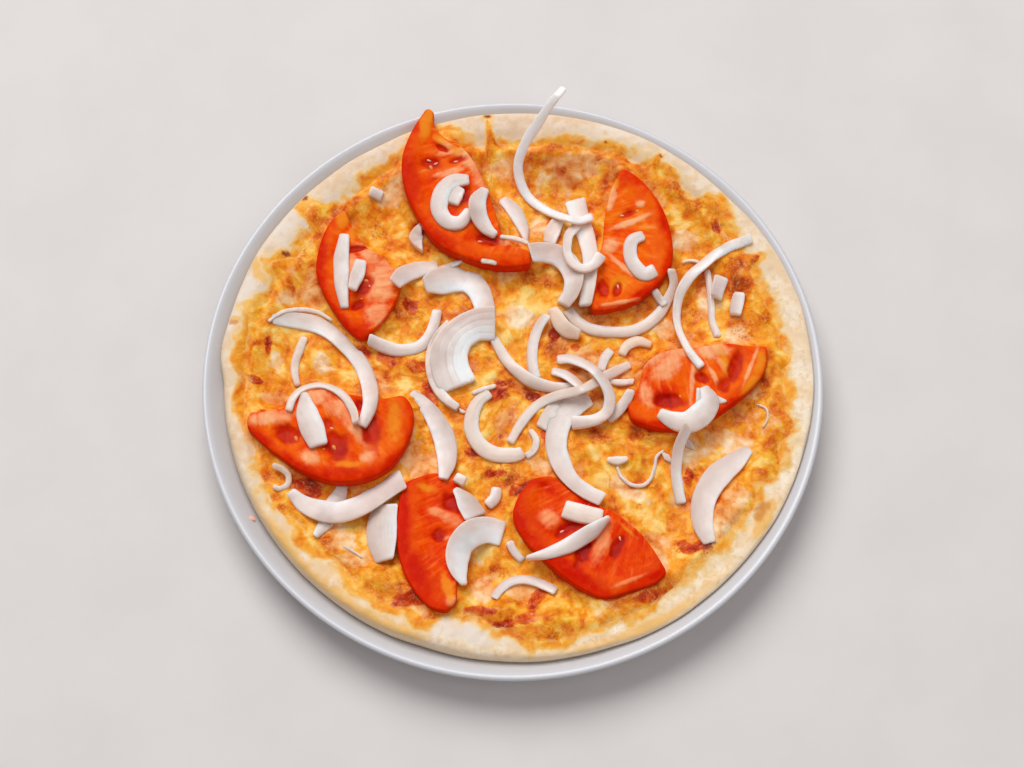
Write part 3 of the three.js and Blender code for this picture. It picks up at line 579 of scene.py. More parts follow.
# The rim's upper side, from the crown's height less its fall: inwards from the middle of the crown it falls
# with the square of the way, outwards it is a quarter of a superellipse, down to the foot. The share runs
# from 0 at the cheese to 1 at the edge.
def rimHeight(share, r, angle):
    middle, fall = aroundCircle(dough["middle"], angle), aroundCircle(dough["fall"], angle)
    inside, outside = np.clip(1 - share / middle, 0, 1), np.clip((share - middle) / (1 - middle), 0, 1)
    foot = doughBottom(r) + dough["footLift"]
    height = foot + (dough["crown"] - fall - foot) * (1 - outside ** dough["round"]) ** (1 / dough["round"])
    height = height - np.maximum(0, dough["dip"] - fall) * inside ** 2
    return height * (1 - inside ** 4) + cheeseLine(r) * inside ** 4


# Puffs and grain of the baked dough: broad noise, round bubbles and fine noise added up.
def doughRelief(x, y):
    away = cellNoise(x, y, *dough["bubbles"])[0]
    bubbles = np.maximum(0, dough["bubbleSize"] - away) * dough["bubbleHeight"]
    return relief(x, y, *dough["puffs"]) + bubbles + relief(x, y, *dough["grain"])


# A place on the pizza: its centre and a radius in a direction.
def pizzaPlace(angle, radius):
    return dough["centre"][0] + radius * np.cos(angle), dough["centre"][1] + radius * np.sin(angle)


# How far places are from the pizza's centre, and in which direction.
def fromCentre(x, y):
    dx, dy = x - dough["centre"][0], y - dough["centre"][1]
    return np.hypot(dx, dy), np.arctan2(dy, dx)


# The dough: rings from the middle of its underside out to the edge, over the rim and in under the cheese.
def doughShape():
    angle = roundAngles(dough["around"])
    outer, inner = doughReach(angle), rimStart(angle)
    outer = outer + relief(angle * dough["wobbleReach"], angle * 0, *dough["wobble"])
    rings = []
    for share in dough["under"]:
        x, y = pizzaPlace(angle, outer * share)
        rings.append((x, y, doughBottom(np.hypot(x, y)), 0 * angle))
    width, middle = outer - inner, aroundCircle(dough["middle"], angle)
    edge = np.sin(np.linspace(1, 0, dough["edgeRings"]) * math.pi / 2) ** (2 / dough["round"])
    shares = [middle + (1 - middle) * part for part in edge]
    shares += [middle * part for part in np.linspace(1, 0, dough["crownRings"])[1:]]
    for share in shares:  # over the edge and the crown to the cheese
        px, py = pizzaPlace(angle, inner + width * share)
        rings.append((px, py, rimHeight(share, np.hypot(px, py), angle), smoothStep(1, 0.9, share)))
    for share in dough["over"]:
        px, py = pizzaPlace(angle, inner * share)
        rings.append((px, py, underCheese(np.hypot(px, py), share) - dough["tuck"], 0 * angle))
    points = np.stack([np.stack([x, y, z + doughRelief(x, y) * upper], -1) for x, y, z, upper in rings])
    pixels = pixelOf(points)
    radius, _ = fromCentre(points[..., 0], points[..., 1])
    inwards = cheeseEnd(angle)[None] - radius
    edgeward = smoothStep(dough["edgeWidth"], 0, outer[None] - radius)
    ragged = layeredNoise(points[..., 0], points[..., 1], *dough["ragged"])
    upper = np.array([row[3] for row in rings])
    browned = aroundCircle(dough["browned"], angle)[None] * np.clip(edgeward + 0.45 + ragged * 0.7, 0, 1)
    stain = smoothStep(-7, 2, inwards + ragged * 7)
    gold = np.clip(patchField(pixels, dough["gold"], 0.5, 43) + browned, 0, 1)
    char = np.maximum(patchField(pixels, dough["char"], 0.7, 47),
                      patchField(pixels, dough["toast"], 0.5, 49) * 0.56)
    fields = {"gold": gold * upper, "stain": stain, "char": char * upper,
              "flour": np.clip(patchField(pixels, dough["flour"], 0.6, 53) * (1 - browned), 0, 1) * upper,
              # Side: the outer edge painted paler, partly its own floury crust and partly painted light
              # against its shade.
              "side": smoothStep(dough["paleAndLitEdgeWidth"], 0, outer[None] - radius),
              "paintedLight": aroundCircle(dough["paintedLight"], angle)[None] + 0 * radius}
    return faceOutward(ringShape(points, fields))


# Golden cheese: three noises, their sum as a texture, and a ramp of tones that the crust's stain has too.
def goldenTones(s):
    blotch, fine, grain = s.noise(10.5, 4, 0.52, warp=0.9), s.noise(3.6, 3, 0.55, warp=0.6), s.noise(0.9, 3)
    texture = (blotch - 0.5) * 1.35 + (fine - 0.5) * 0.42 + (grain - 0.5) * 0.2
    stops = [(0.0, (164, 58, 10)), (0.15, (206, 88, 14)), (0.33, (228, 118, 20)), (0.5, (239, 144, 26)),
             (0.68, (247, 172, 52)), (0.92, (253, 212, 122))]
    return blotch, fine, grain, texture, lambda light: s.ramp(light, stops)


# The crust: pale dough painted lighter round the lower right as painted light, then flour, gold, the cheese's
# stain, char, and the edge, partly paler crust and partly painted light, coat after coat.
def bakedCrust():
    s = Shader("bakedCrust")
    broad, soft = s.noise(13, 4, warp=0.4), s.noise(3.2, 5, 0.6, warp=0.5)
    _, _, grain, texture, golden = goldenTones(s)
    gold, stain, char, flour, paintedLight, side = s.attributes("gold", "stain", "char", "flour", "paintedLight", "side")
    cloudy = s.between(broad, 0.36, 0.6)
    burnt = char + soft * 0.6 - 0.3
    worn = stain + (soft - 0.5) * 0.9 + (grain - 0.5) * 0.3
    stained = s.mix((242, 210, 158), (242, 184, 92), s.between(worn, 0.3, 0.7))
    crust = s.paint(
        s.mix((224, 193, 161), (234, 212, 190), cloudy),
        (s.mix((248, 218, 178), (254, 238, 214), cloudy), paintedLight),
        ((228, 184, 140), s.between(soft + broad * 0.3, 0.62, 0.85) * 0.6),
        ((236, 222, 210), flour * s.between(broad + soft * 0.5, 0.4, 0.75) * 0.9),
        ((244, 186, 92), s.between(gold + soft * 0.6 - 0.3, 0.05, 0.85) * 0.8),
        (stained, s.between(worn, 0.0, 0.5) * 0.9),
        (golden(texture + 0.56), s.between(worn, 0.55, 1.05)),
        ((214, 128, 42), s.between(burnt, 0.1, 0.6) * 0.75),
        ((132, 58, 20), s.between(burnt, 0.62, 0.95) * 0.9),
        # The edge: a paler coat, partly the crust's own colour and partly painted light over its shade.
        ((246, 218, 184), side * 0.6))
    rough = 0.8 - gold * 0.2 - stain * 0.3 + grain * 0.1
    return s.finish(bump=(soft * 0.8 + grain * 0.3 + broad, 0.5, 0.6), Base_Color=crust, Roughness=rough,
                    Specular_IOR_Level=0.12)


addPiece("crustBaked", doughShape(), bakedCrust(), ("dough",))
print("dough made")

# Tomato half slices. Skin and cut are the outline as it is seen. Red, gel, wall (pale flesh), yellow and
# seeds are seen places in pixels; a seed with a fourth number is a painted glint, a pale drop that stands in
# for a highlight. Band is how wide the flesh under the skin is, unripe turns red to orange.
tomatoes = {
    "thickness": 5.6, "below": 0.474, "along": 150, "sink": 2.4, "radius": 1.1, "end": 2.2,
    "gelDepth": 0.9, "wallHeight": 0.45, "skinRidge": 0.8, "wave": (9, 93, 3), "patches": (0.4, 91, 1.3, 1.1),
    "section": (10, 6, 46), "sunkWave": 0.5, "topWave": 0.35, "redder": 0.35, "stretch": 0.14,
    "seedDepth": 0.75, "seedSize": (2.7, 1.6, 1.0), "glintSeedSize": (2.4, 1.0, 1.0),
    "slices": {
        "tomato_upper_left": {
            "band": 20, "unripe": 0.5,
            "skin": [(427, 107), (412, 130), (402, 158), (404, 186), (417, 216), (437, 243), (468, 259),
                (503, 267), (531, 265)],
            "cut": [(434, 111), (435, 126), (446, 138), (463, 148), (475, 163), (484, 182), (494, 208),
                (505, 238), (531, 252)],
            "red": [(440, 238, 20, 8, 30), (412, 184, 12, 42), (450, 218, 18, 9, 30)],
            "gel": [(432, 163, 13, 8, 5), (457, 160, 12, 4, -12), (463, 195, 10, 11), (487, 240, 17, 8, 8),
                (442, 148, 10, 3, 30)],
            "wall": [(468, 158, 12, 20, -35), (480, 180, 9, 16, -25), (447, 153, 14, 3, -12),
                (450, 172, 24, 4, -14), (446, 145, 10, 4, 30), (505, 242, 12, 4, 5)],
            "yellow": [(440, 140, 10, 5, 30), (456, 150, 9, 5, 30), (426, 124, 7, 18, 10)],
            "seeds": [(429, 160, 20, 1), (436, 163, -30, 1), (431, 167, 60), (456, 161, -10, 1),
                (480, 241, 0, 1)],
        },
        "tomato_left_upper": {
            "band": 16, "unripe": 0.5,
            "skin": [(345, 208), (330, 222), (320, 244), (316, 270), (322, 290), (334, 311), (348, 329),
                (362, 341)],
            "cut": [(352, 228), (366, 246), (388, 262), (400, 280), (398, 295), (388, 314), (374, 329)],
            "red": [(321, 268, 8, 40), (340, 318, 9, 24, -38), (362, 330, 14, 9)],
            "gel": [(357, 305, 10, 6, -30), (356, 249, 13, 3.5, -5), (364, 285, 9, 14, 30)],
            "wall": [(380, 280, 18, 28, 10), (370, 256, 18, 8, 35), (376, 314, 16, 12, -30),
                (352, 268, 8, 16)],
            "yellow": [(343, 218, 9, 15, 20), (352, 234, 8, 8)],
            "seeds": [(362, 298, -20, 1), (370, 286, 50, 1), (366, 280, 10)],
        },
        "tomato_left_lower": {
            "band": 17, "unripe": 0.5,
            "skin": [(246, 427), (262, 443), (284, 460), (308, 474), (335, 482), (362, 480), (386, 470),
                (402, 452), (412, 430), (413, 410), (405, 394)],
            "cut": [(249, 412), (262, 411), (283, 407), (298, 395), (318, 388), (345, 393), (380, 399)],
            "red": [(340, 474, 50, 9), (300, 466, 30, 7, 28), (262, 438, 20, 6, 40),
                (390, 462, 20, 7, -45)],
            "gel": [(286, 434, 17, 10, 10), (335, 444, 19, 16, 20), (370, 431, 12, 21, 5), (328, 423, 9, 8),
                (360, 405, 7, 10, -40)],
            "wall": [(268, 417, 24, 9, -5), (311, 457, 12, 10, 10), (357, 430, 8, 30, -35),
                (340, 408, 16, 10, 20), (318, 396, 14, 8), (368, 456, 10, 8)],
            "yellow": [(393, 420, 9, 24), (350, 464, 18, 4)],
            "seeds": [(296, 438, 70), (332, 428, 20, 1), (334, 447, 60), (362, 452, 30, 1), (303, 450, 60),
                (323, 449, -30)],
        },
        "tomato_upper_right": {
            "band": 19, "unripe": 0.6,
            "skin": [(622, 167), (638, 177), (653, 193), (665, 213), (672, 238), (672, 262), (660, 282),
                (640, 299), (615, 309), (592, 312)],
            "cut": [(611, 188), (605, 215), (602, 245), (593, 268), (588, 292)],
            "red": [(665, 222, 8, 32, -12), (668, 262, 8, 22, 10), (648, 290, 22, 7, -38),
                (625, 178, 12, 12)],
            "gel": [(628, 214, 13, 5, -20), (668, 281, 8, 6, -40), (603, 288, 7, 14),
                (617, 290, 5, 10, 10)],
            "wall": [(612, 194, 5, 20, 12), (630, 222, 24, 3.5, -20), (612, 245, 10, 8, -30),
                (622, 266, 24, 3, 40), (620, 303, 24, 2.5, -10), (640, 204, 6, 4, 20)],
            "yellow": [(616, 184, 4, 10, 12), (618, 282, 12, 10)],
            "seeds": [(643, 205, 20, 1), (638, 210, -20), (622, 215, 0, 1), (618, 286, 80, 1)],
        },
        "tomato_bottom_left": {
            "band": 26, "unripe": 0.38,
            "skin": [(404, 482), (398, 505), (396, 530), (398, 552), (404, 573), (415, 592), (430, 607),
                (446, 612)],
            "cut": [(432, 472), (455, 477), (462, 498), (466, 520), (452, 538), (449, 560), (456, 580),
                (457, 602)],
            "red": [(402, 525, 11, 50), (418, 572, 14, 26, -20)],
            "gel": [(453, 501, 17, 12, 12), (438, 534, 10, 9)],
            "wall": [(450, 518, 13, 7, 30), (438, 512, 10, 5, 20), (446, 538, 6, 3), (451, 602, 9, 6, -10)],
            "yellow": [(448, 588, 6, 20, -20), (427, 488, 13, 5, 10)],
            "seeds": [(444, 519, 30), (446, 536, -20, 1)],
        },
        "tomato_bottom": {
            "band": 22, "unripe": 0.33,
            "skin": [(532, 478), (518, 497), (513, 515), (522, 537), (540, 556), (560, 574), (582, 589),
                (604, 598), (632, 591), (656, 583), (668, 573)],
            "cut": [(553, 475), (573, 492), (597, 504), (618, 514), (640, 532), (655, 551)],
            "red": [(572, 572, 38, 10, 36), (545, 486, 14, 6, 20), (655, 577, 16, 6, -15),
                (520, 530, 8, 24, -20), (585, 500, 14, 8, 40)],
            "gel": [(567, 528, 18, 8, -25), (583, 550, 8, 18, 25), (617, 548, 7, 17, 25)],
            "wall": [(602, 542, 9, 24, 14), (548, 518, 12, 10), (632, 522, 26, 4, 40),
                (632, 580, 20, 2.5, -22)],
            "yellow": [(628, 530, 14, 2.5, 42)],
            "seeds": [(620, 538, 75, 1), (605, 530, 20), (556, 503, 20), (562, 531, -30, 1)],
        },
        "tomato_right": {
            "band": 15, "unripe": 0.55,
            "skin": [(626, 404), (632, 419), (655, 428), (680, 430), (704, 423), (727, 408), (750, 390),
                (765, 371), (768, 346)],
            "cut": [(640, 386), (644, 366), (662, 352), (695, 347), (727, 343), (752, 346)],
            "red": [(650, 424, 22, 5, 6), (722, 412, 24, 5, -38), (665, 392, 14, 12),
                (760, 385, 6, 14, 30)],
            "gel": [(736, 366, 8, 22, 14), (668, 400, 20, 9), (724, 384, 8, 9), (702, 378, 8, 6, 30)],
            "wall": [(648, 358, 26, 13, -10), (668, 366, 22, 12, -35), (692, 384, 3, 24, 4),
                (714, 376, 3, 17, -30), (751, 366, 2.5, 26, 22), (647, 396, 8, 16, -20), (680, 352, 24, 7),
                (722, 364, 4, 14, -40), (712, 350, 22, 9)],
            "yellow": [(724, 362, 6, 18, -25), (760, 362, 7, 16, 15), (750, 386, 16, 7, -50)],
            "seeds": [(674, 382, -50, 1), (669, 388, -40, 1), (712, 372, 30), (681, 396, 60)],
        },
    },
}


# The level of a tomato's underside, a tilted plane through its solid.
def tomatoPlane(node):
    points = nodePoints(node)
    basis = np.column_stack([np.ones(len(points)), points[:, :2]])
    level, slopeX, slopeY = np.linalg.lstsq(basis, points[:, 2], rcond=None)[0]
    level -= tomatoes["below"] * tomatoes["thickness"]
    return lambda x, y: level + slopeX * x + slopeY * y


# Both sides of a slice in mm, from where they are seen, at the level of its top.
def tomatoSides(node):
    plane, sides = tomatoPlane(node), []
    for side in ("skin", "cut"):
        pixels = smoothLine(tomatoes["slices"][node][side], tomatoes["along"])
        sides.append(seenOn(pixels, 0, lambda x, y: plane(x, y) + tomatoes["thickness"])[:, :2])
    return plane, sides


# How far the cheese swells up round the slices that are pressed into it, so that their sides hardly show: as
# high as the slice less the lap, at most the climb, softly down to nothing at the end of the swell.
def pressedUp(x, y, z):
    up = np.zeros(x.shape)
    for node in tomatoes["slices"]:
        plane, sides = tomatoSides(node)
        outline = np.vstack(sides)[::3]
        low, high = outline.min(0) - cheese["swell"], outline.max(0) + cheese["swell"]
        near = (x > low[0]) & (x < high[0]) & (y > low[1]) & (y < high[1])
        px, py = x[near], y[near]
        away = np.hypot(px[:, None] - outline[None, :, 0], py[:, None] - outline[None, :, 1]).min(1)
        rise = np.clip(plane(px, py) + tomatoes["thickness"] - cheese["lap"] - z[near], 0, cheese["climb"])
        up[near] = np.maximum(up[near], rise * smoothStep(cheese["swell"], 0.5, away))
    return up


# The melted cheese and sauce. Patches are seen places in pixels: middle, half length, half width and turn.
# A noise is its cell in mm, its seed, its layers, and its height where it has one.
cheese = {
    "thickness": 4.2, "edge": 1.1, "around": 720, "rings": 128, "swell": 7.0, "lap": 1.5,
    "climb": 3.4, "spread": 1.0, "ragged": (9, 71, 3, 2.6), "bends": ((7, 63, 2, 3.4), (7, 64, 2, 3.4)),
    "melt": (13, 61, 2, 0.9), "cells": (7.2, 69), "nodules": 1.25, "crumbs": (3.3, 70), "grains": 0.5,
    "strings": (3.6, 65), "shreds": 0.55, "patches": (0.55, 81),
    "broad": (21, 73, 2), "middle": (6, 75, 3), "small": (2.4, 77, 2), "raggedReach": 130, "sunk": 0.6,
    "topReach": 0.98, "crowding": 1.15, "topStart": 0.985, "filmWidth": 9, "filmSunk": 0.2, "meeting": 6,
    "rimDip": 2.4, "bareWidth": 13, "borderWidth": 5,
    "under": [0.02, 0.5, 0.86, 0.94, 0.985],
    "lumps": [(318, 207, 9, 2.6), (385, 580, 13, 4), (503, 612, 10, 3.2), (555, 618, 13, 4.2),
        (410, 312, 9, 2), (245, 345, 12, 2.6), (705, 205, 12, 2.6), (740, 285, 12, 2.4), (765, 320, 9, 2.2),
        (550, 275, 9, 1.6), (320, 345, 14, 1.4), (640, 455, 12, 1.6), (725, 520, 13, 2.6),
        (565, 172, 14, 2.2), (420, 440, 11, 1.6), (600, 612, 10, 2), (290, 520, 9, 2), (780, 440, 9, 2)],
    "scattered": {"count": 60, "reach": 0.86, "radius": (7, 12), "height": (0.5, 1.5), "seed": 11},
    "gold": [(245, 345, 18), (235, 365, 12), (262, 275, 16), (345, 205, 18), (325, 215, 16), (385, 580, 24),
        (505, 612, 20), (570, 610, 24, 20), (545, 640, 16, 10), (650, 165, 22, 12, 20), (700, 200, 20),
        (675, 190, 16), (722, 215, 12), (768, 305, 10, 22), (785, 372, 8, 12), (776, 448, 14, 26),
        (636, 465, 14, 20), (490, 145, 12, 18), (528, 282, 10), (470, 150, 12), (552, 190, 12),
        (262, 300, 12, 20), (640, 615, 26, 10, -20)],
    "brown": [(268, 345, 5, 14), (257, 382, 9, 6, 20), (361, 186, 6, 3, -20), (372, 217, 5), (378, 232, 9),
        (333, 212, 7, 5, 20), (302, 256, 5, 16, 20), (316, 238, 12, 4, -40), (385, 165, 16, 6, -25),
        (410, 310, 16, 14), (548, 284, 8, 5), (552, 338, 6, 12, 10), (585, 368, 8, 6), (505, 388, 16, 12),
        (532, 396, 10, 6, -30), (545, 484, 16, 6, 10), (522, 496, 8), (470, 455, 8, 4), (598, 160, 5, 7),
        (605, 186, 7, 5), (552, 146, 12, 4), (676, 184, 8), (684, 194, 7), (702, 205, 8, 5),
        (717, 226, 12, 9), (728, 240, 8, 6), (732, 264, 20, 9, -5), (505, 472, 30, 13), (744, 330, 15, 12),
        (690, 310, 9, 18, 10), (757, 261, 10, 7, -10), (742, 284, 16, 10), (766, 320, 8, 10),
        (752, 406, 10, 7), (738, 424, 9, 6), (766, 388, 6, 12), (762, 472, 7, 5), (703, 548, 16, 10),
        (676, 549, 10, 7), (670, 524, 9, 10), (612, 499, 5), (640, 508, 5), (656, 487, 9, 5),
        (697, 474, 6, 10), (285, 510, 9, 8), (270, 476, 10, 7), (326, 540, 10, 6), (552, 634, 12, 7),
        (432, 616, 7, 6), (500, 570, 14, 8), (645, 435, 18, 8, 10), (600, 440, 14, 6)],
    "sauce": [(268, 347, 3.5, 10), (388, 358, 12, 9, 20), (420, 366, 22, 8, 10), (548, 436, 8, 12),
        (310, 489, 22, 9, 12), (410, 599, 20, 8, -15), (477, 611, 17, 6), (528, 617, 15, 8, -10),
        (535, 600, 18, 7, -50), (505, 624, 14, 5, -10), (650, 597, 24, 6, -15), (497, 392, 16, 9, 10),
        (365, 352, 10, 6, 20), (575, 347, 6, 5), (587, 370, 5, 4), (500, 384, 8, 5), (532, 397, 7, 4),
        (688, 480, 5, 12), (430, 400, 10, 20), (262, 415, 6, 4), (256, 448, 5, 6), (702, 545, 9, 7),
        (412, 306, 9, 8), (655, 290, 10, 5, -40), (553, 336, 6, 9), (470, 452, 9, 4, 10),
        (520, 490, 12, 8, -20), (496, 474, 12, 5), (686, 548, 12, 6, 10), (255, 380, 9, 5, 20),
        (718, 228, 7, 6)],
    "cream": [(388, 198, 16, 12), (398, 180, 12), (312, 292, 14, 10), (285, 297, 14, 8), (276, 362, 12, 18),
        (322, 362, 9, 14), (405, 448, 18, 22, -30), (425, 470, 16, 10), (508, 276, 14, 12),
        (520, 315, 22, 14), (568, 174, 36, 18, -30), (588, 160, 14, 12), (540, 228, 10), (685, 240, 20, 10),
        (738, 338, 12, 12), (704, 304, 9, 16), (722, 442, 38, 15, 10), (696, 450, 18, 12),
        (728, 526, 18, 22, 20), (740, 500, 16, 14), (632, 493, 20, 9, 20), (620, 480, 8),
        (662, 566, 10, 16, -20), (602, 612, 20, 12, 10), (592, 592, 14, 8), (522, 592, 18, 10),
        (482, 592, 14, 14), (345, 543, 20, 10), (330, 525, 14, 8), (352, 560, 18, 8, 20),
        (275, 398, 16, 6, 10), (416, 610, 12, 10), (555, 322, 8, 10), (560, 400, 16, 10), (745, 395, 16, 8),
        (660, 330, 14, 10)],
}


# Lumps of the same places and sizes as the solid's, named ones first and then scattered ones.
def cheeseLumps():
    level = float(doughTop(0)) + cheese["thickness"]
    lumps = [(*seenPoint(lump[:2], level)[:2], *lump[2:]) for lump in cheese["lumps"]]
    scattered = cheese["scattered"]
    state = scattered["seed"]
    for _ in range(scattered["count"]):
        draws = []
        for _ in range(4):
            state = (state * 1664525 + 1013904223) % 4294967296
            draws.append(state / 4294967296)
        x, y = pizzaPlace(draws[0] * turn, math.sqrt(draws[1]) * dough["radius"] * scattered["reach"])
        sizes = [low + (high - low) * draw
                 for (low, high), draw in zip((scattered["radius"], scattered["height"]), draws[2:])]
        lumps.append((x, y, *sizes))
    return lumps


lumpList = cheeseLumps()


# The upper side of the cheese: level in the middle, rising to meet the rim, with a bump for every lump,
# (1 - distance^2)^2 high, and with the shreds, bubbles and runs of melted cheese on top.
def cheeseTop(x, y, fine=True):
    radius, angle = fromCentre(x, y)
    end, r = rimStart(angle), np.hypot(x, y)
    rise = smoothStep(0.8, 1, radius / end)
    rimLevel = cheeseLine(r) + dough["clear"] + cheese["edge"]
    rimLevel -= cheese["rimDip"] * smoothStep(1, 0.9, radius / end)
    level = (doughTop(0) + cheese["thickness"]) * (1 - rise) + rimLevel * rise
    height = np.maximum(level, doughTop(r) + dough["clear"] + cheese["edge"])
    for lx, ly, reach, tall in lumpList:
        away = np.minimum(1, ((x - lx) ** 2 + (y - ly) ** 2) / reach ** 2)
        height = height + tall * (1 - away) ** 2 * (1 - 0.3 * rise)
    if not fine:
        return height
    away, own, bendX, bendY = cheeseCells(x, y)
    melt = relief(x, y, *cheese["melt"])
    nodules = smoothStep(0.66, 0.05, away) * (own - 0.25) * cheese["nodules"]
    small, share = cellNoise(x - bendY, y + bendX, *cheese["crumbs"])
    grains = smoothStep(0.6, 0, small) * share * cheese["grains"]
    shreds = (0.5 - np.abs(softNoise(x + bendX, y - bendY, *cheese["strings"]))) * cheese["shreds"]
    return height + (melt + nodules + grains + shreds) * (1 - 0.55 * rise)


# The lumps that the melted shreds gather into: bent cells, each with a number of its own.
def cheeseCells(x, y):
    bendX, bendY = (relief(x, y, *bend) for bend in cheese["bends"])
    return *cellNoise(x + bendX, y + bendY, *cheese["cells"]), bendX, bendY


# The cheese: rings under it, round its thin edge, and over the top to the middle. Near its end it is a film
# over the rim, and further in its own top takes over. Warmth parts gold from cream, and light is the shade
# that the ramps read: the cheese's own tones, with painted shade in its hollows, at the seams between lumps
# and where it is pressed up against the slices.
def cheeseShape():
    angle = roundAngles(cheese["around"])
    ragged = relief(angle * cheese["raggedReach"], angle * 0, *cheese["ragged"])
    end = cheeseEnd(angle) + ragged + cheese["spread"]
    rim = doughReach(angle)
    rings = []
    for share in cheese["under"]:
        x, y = pizzaPlace(angle, end * share)
        rings.append(np.stack([x, y, underCheese(np.hypot(x, y), share) - cheese["sunk"]], -1))
    inner = rimStart(angle)
    steps = np.linspace(0, cheese["topReach"], cheese["rings"]) ** cheese["crowding"]
    for share in 1 - steps * cheese["topStart"]:
        x, y = pizzaPlace(angle, end * share)
        r = np.hypot(x, y)
        top = cheeseTop(x, y)
        out = np.clip((end * share - inner) / (rim - inner), 0, 0.9)
        ground = rimHeight(out, r, angle) + doughRelief(x, y)
        film = ground + cheese["edge"] * smoothStep(0, cheese["filmWidth"], end * (1 - share))
        film -= cheese["filmSunk"]
        under = np.clip((inner - end * share) / cheese["meeting"], 0, 1)
        rings.append(np.stack([x, y, film * (1 - under) + top * under], -1))
    points = np.stack(rings)
    x, y, z = points[..., 0], points[..., 1], points[..., 2].copy()
    pixels = pixelOf(points)
    reached, _ = fromCentre(x, y)
    raised = (z - cheeseTop(x, y, False)) * smoothStep(-2, -9, reached - inner[None])
    pressed = pressedUp(x, y, z) * smoothStep(1, -7, reached - inner[None])
    first = len(cheese["under"])
    points[first:, :, 2] += pressed[first:]
    away, own, _, _ = cheeseCells(x, y)
    broad, middle, small = (layeredNoise(x, y, *cheese[name]) for name in ("broad", "middle", "small"))
    inset = end[None] - reached
    edge = smoothStep(cheese["bareWidth"], 1, inset + middle * 5)
    gold, cream, brown, sauce = (patchField(pixels, cheese[name], *cheese["patches"])
                                 for name in ("gold", "cream", "brown", "sauce"))
    warmth = 0.36 + own * 0.4 + broad * 0.3 + middle * 0.3 + gold * 0.4 - cream * 0.62 + edge * 0.4
    # Painted shade: light rises with the height above the smooth top and falls at the seams between lumps and
    # beside the slices.
    light = 0.54 + raised * 0.13 + (own * 7 % 1 - 0.5) * 0.26 + middle * 0.2 + small * 0.1 + broad * 0.12
    light += cream * 0.12 - brown * 0.2 - sauce * 0.12
    light -= smoothStep(0.5, 0.9, away) * 0.14 + np.minimum(pressed, 2) * 0.05
    # Painted shade too: the hollows take the sauce's darker red, which is partly sauce and partly their
    # shade.
    low = smoothStep(0.1, -1.2, raised + middle) * (1 - edge)  # hollows fill with sauce
    fields = {"cream": smoothStep(0.54, 0.22, warmth), "light": light, "brown": brown, "gold": gold,
              "sauce": np.clip(sauce * 1.2 + low * 0.6, 0, 1),
              "border": smoothStep(cheese["borderWidth"], 0.0, inset + small * 2)}
    return faceOutward(ringShape(points, fields))


# Melted cheese: golden tones, then cream, crust, sauce, pale border, freckles and strands, coat after coat.
def meltedCheese():
    s = Shader("meltedCheese")
    blotch, fine, grain, texture, golden = goldenTones(s)
    cream, light, sauce = s.attributes("cream", "light", "sauce")
    border, brown, gold = s.attributes("border", "brown", "gold")
    # The light attribute brings the mesh's painted shade into every ramp.
    light = light + texture
    creamy = s.ramp(light, [(0.0, (172, 76, 24)), (0.18, (210, 108, 38)), (0.36, (230, 140, 66)),
                            (0.56, (240, 170, 102)), (0.8, (248, 202, 148)), (1.0, (253, 228, 192))])
    crusty = s.ramp(light, [(0.0, (150, 44, 4)), (0.25, (198, 82, 6)), (0.5, (227, 127, 12)),
                            (0.75, (242, 170, 34)), (1.0, (252, 208, 92))])
    saucy = s.ramp(light, [(0.0, (128, 16, 4)), (0.25, (174, 34, 6)), (0.45, (204, 66, 10)),
                           (0.65, (230, 108, 26)), (0.95, (244, 164, 80))])
    blotchy, uneven = (blotch - 0.5) * 0.8, (fine - 0.5) * 0.8
    freckle = s.between(s.noise(1.3, 2), 0.5, 0.62) * s.between(brown + uneven, 0.3, 0.9)
    strand = s.noise(6.5, 2, 0.5, warp=2.2) - 0.5
    colour = s.paint(
        golden(light),
        (creamy, s.between(cream + blotchy - border, 0.2, 0.8)),
        (crusty, s.between(gold + blotchy - border, 0.1, 0.9) * 0.8),
        (saucy, s.between(sauce + (fine - 0.5) * 0.6 - border, 0.15, 0.75) * 0.95),
        ((244, 196, 118), s.between(border + uneven, 0.0, 1.0) * 0.7),
        ((166, 62, 14), freckle * 0.5),
        ((250, 214, 156), s.between(strand * strand, 0.0012, 0.0) * s.between(fine, 0.35, 0.6) * 0.22))
    rough = 0.42 + cream * 0.1 - sauce * 0.12 + s.between(grain, 0.3, 0.7) * 0.12
    oily = s.between(s.noise(9, 3), 0.45, 0.65)
    return s.finish(bump=(blotch * 1.1 + fine * 0.8 + grain * 0.16, 0.8, 0.9), Base_Color=colour,
                    Roughness=rough, Specular_IOR_Level=0.08, Coat_Weight=oily * 0.12, Coat_Roughness=0.08)


addPiece("cheeseMelted", cheeseShape(), meltedCheese(), ("cheese_topping",))
print("cheese made")

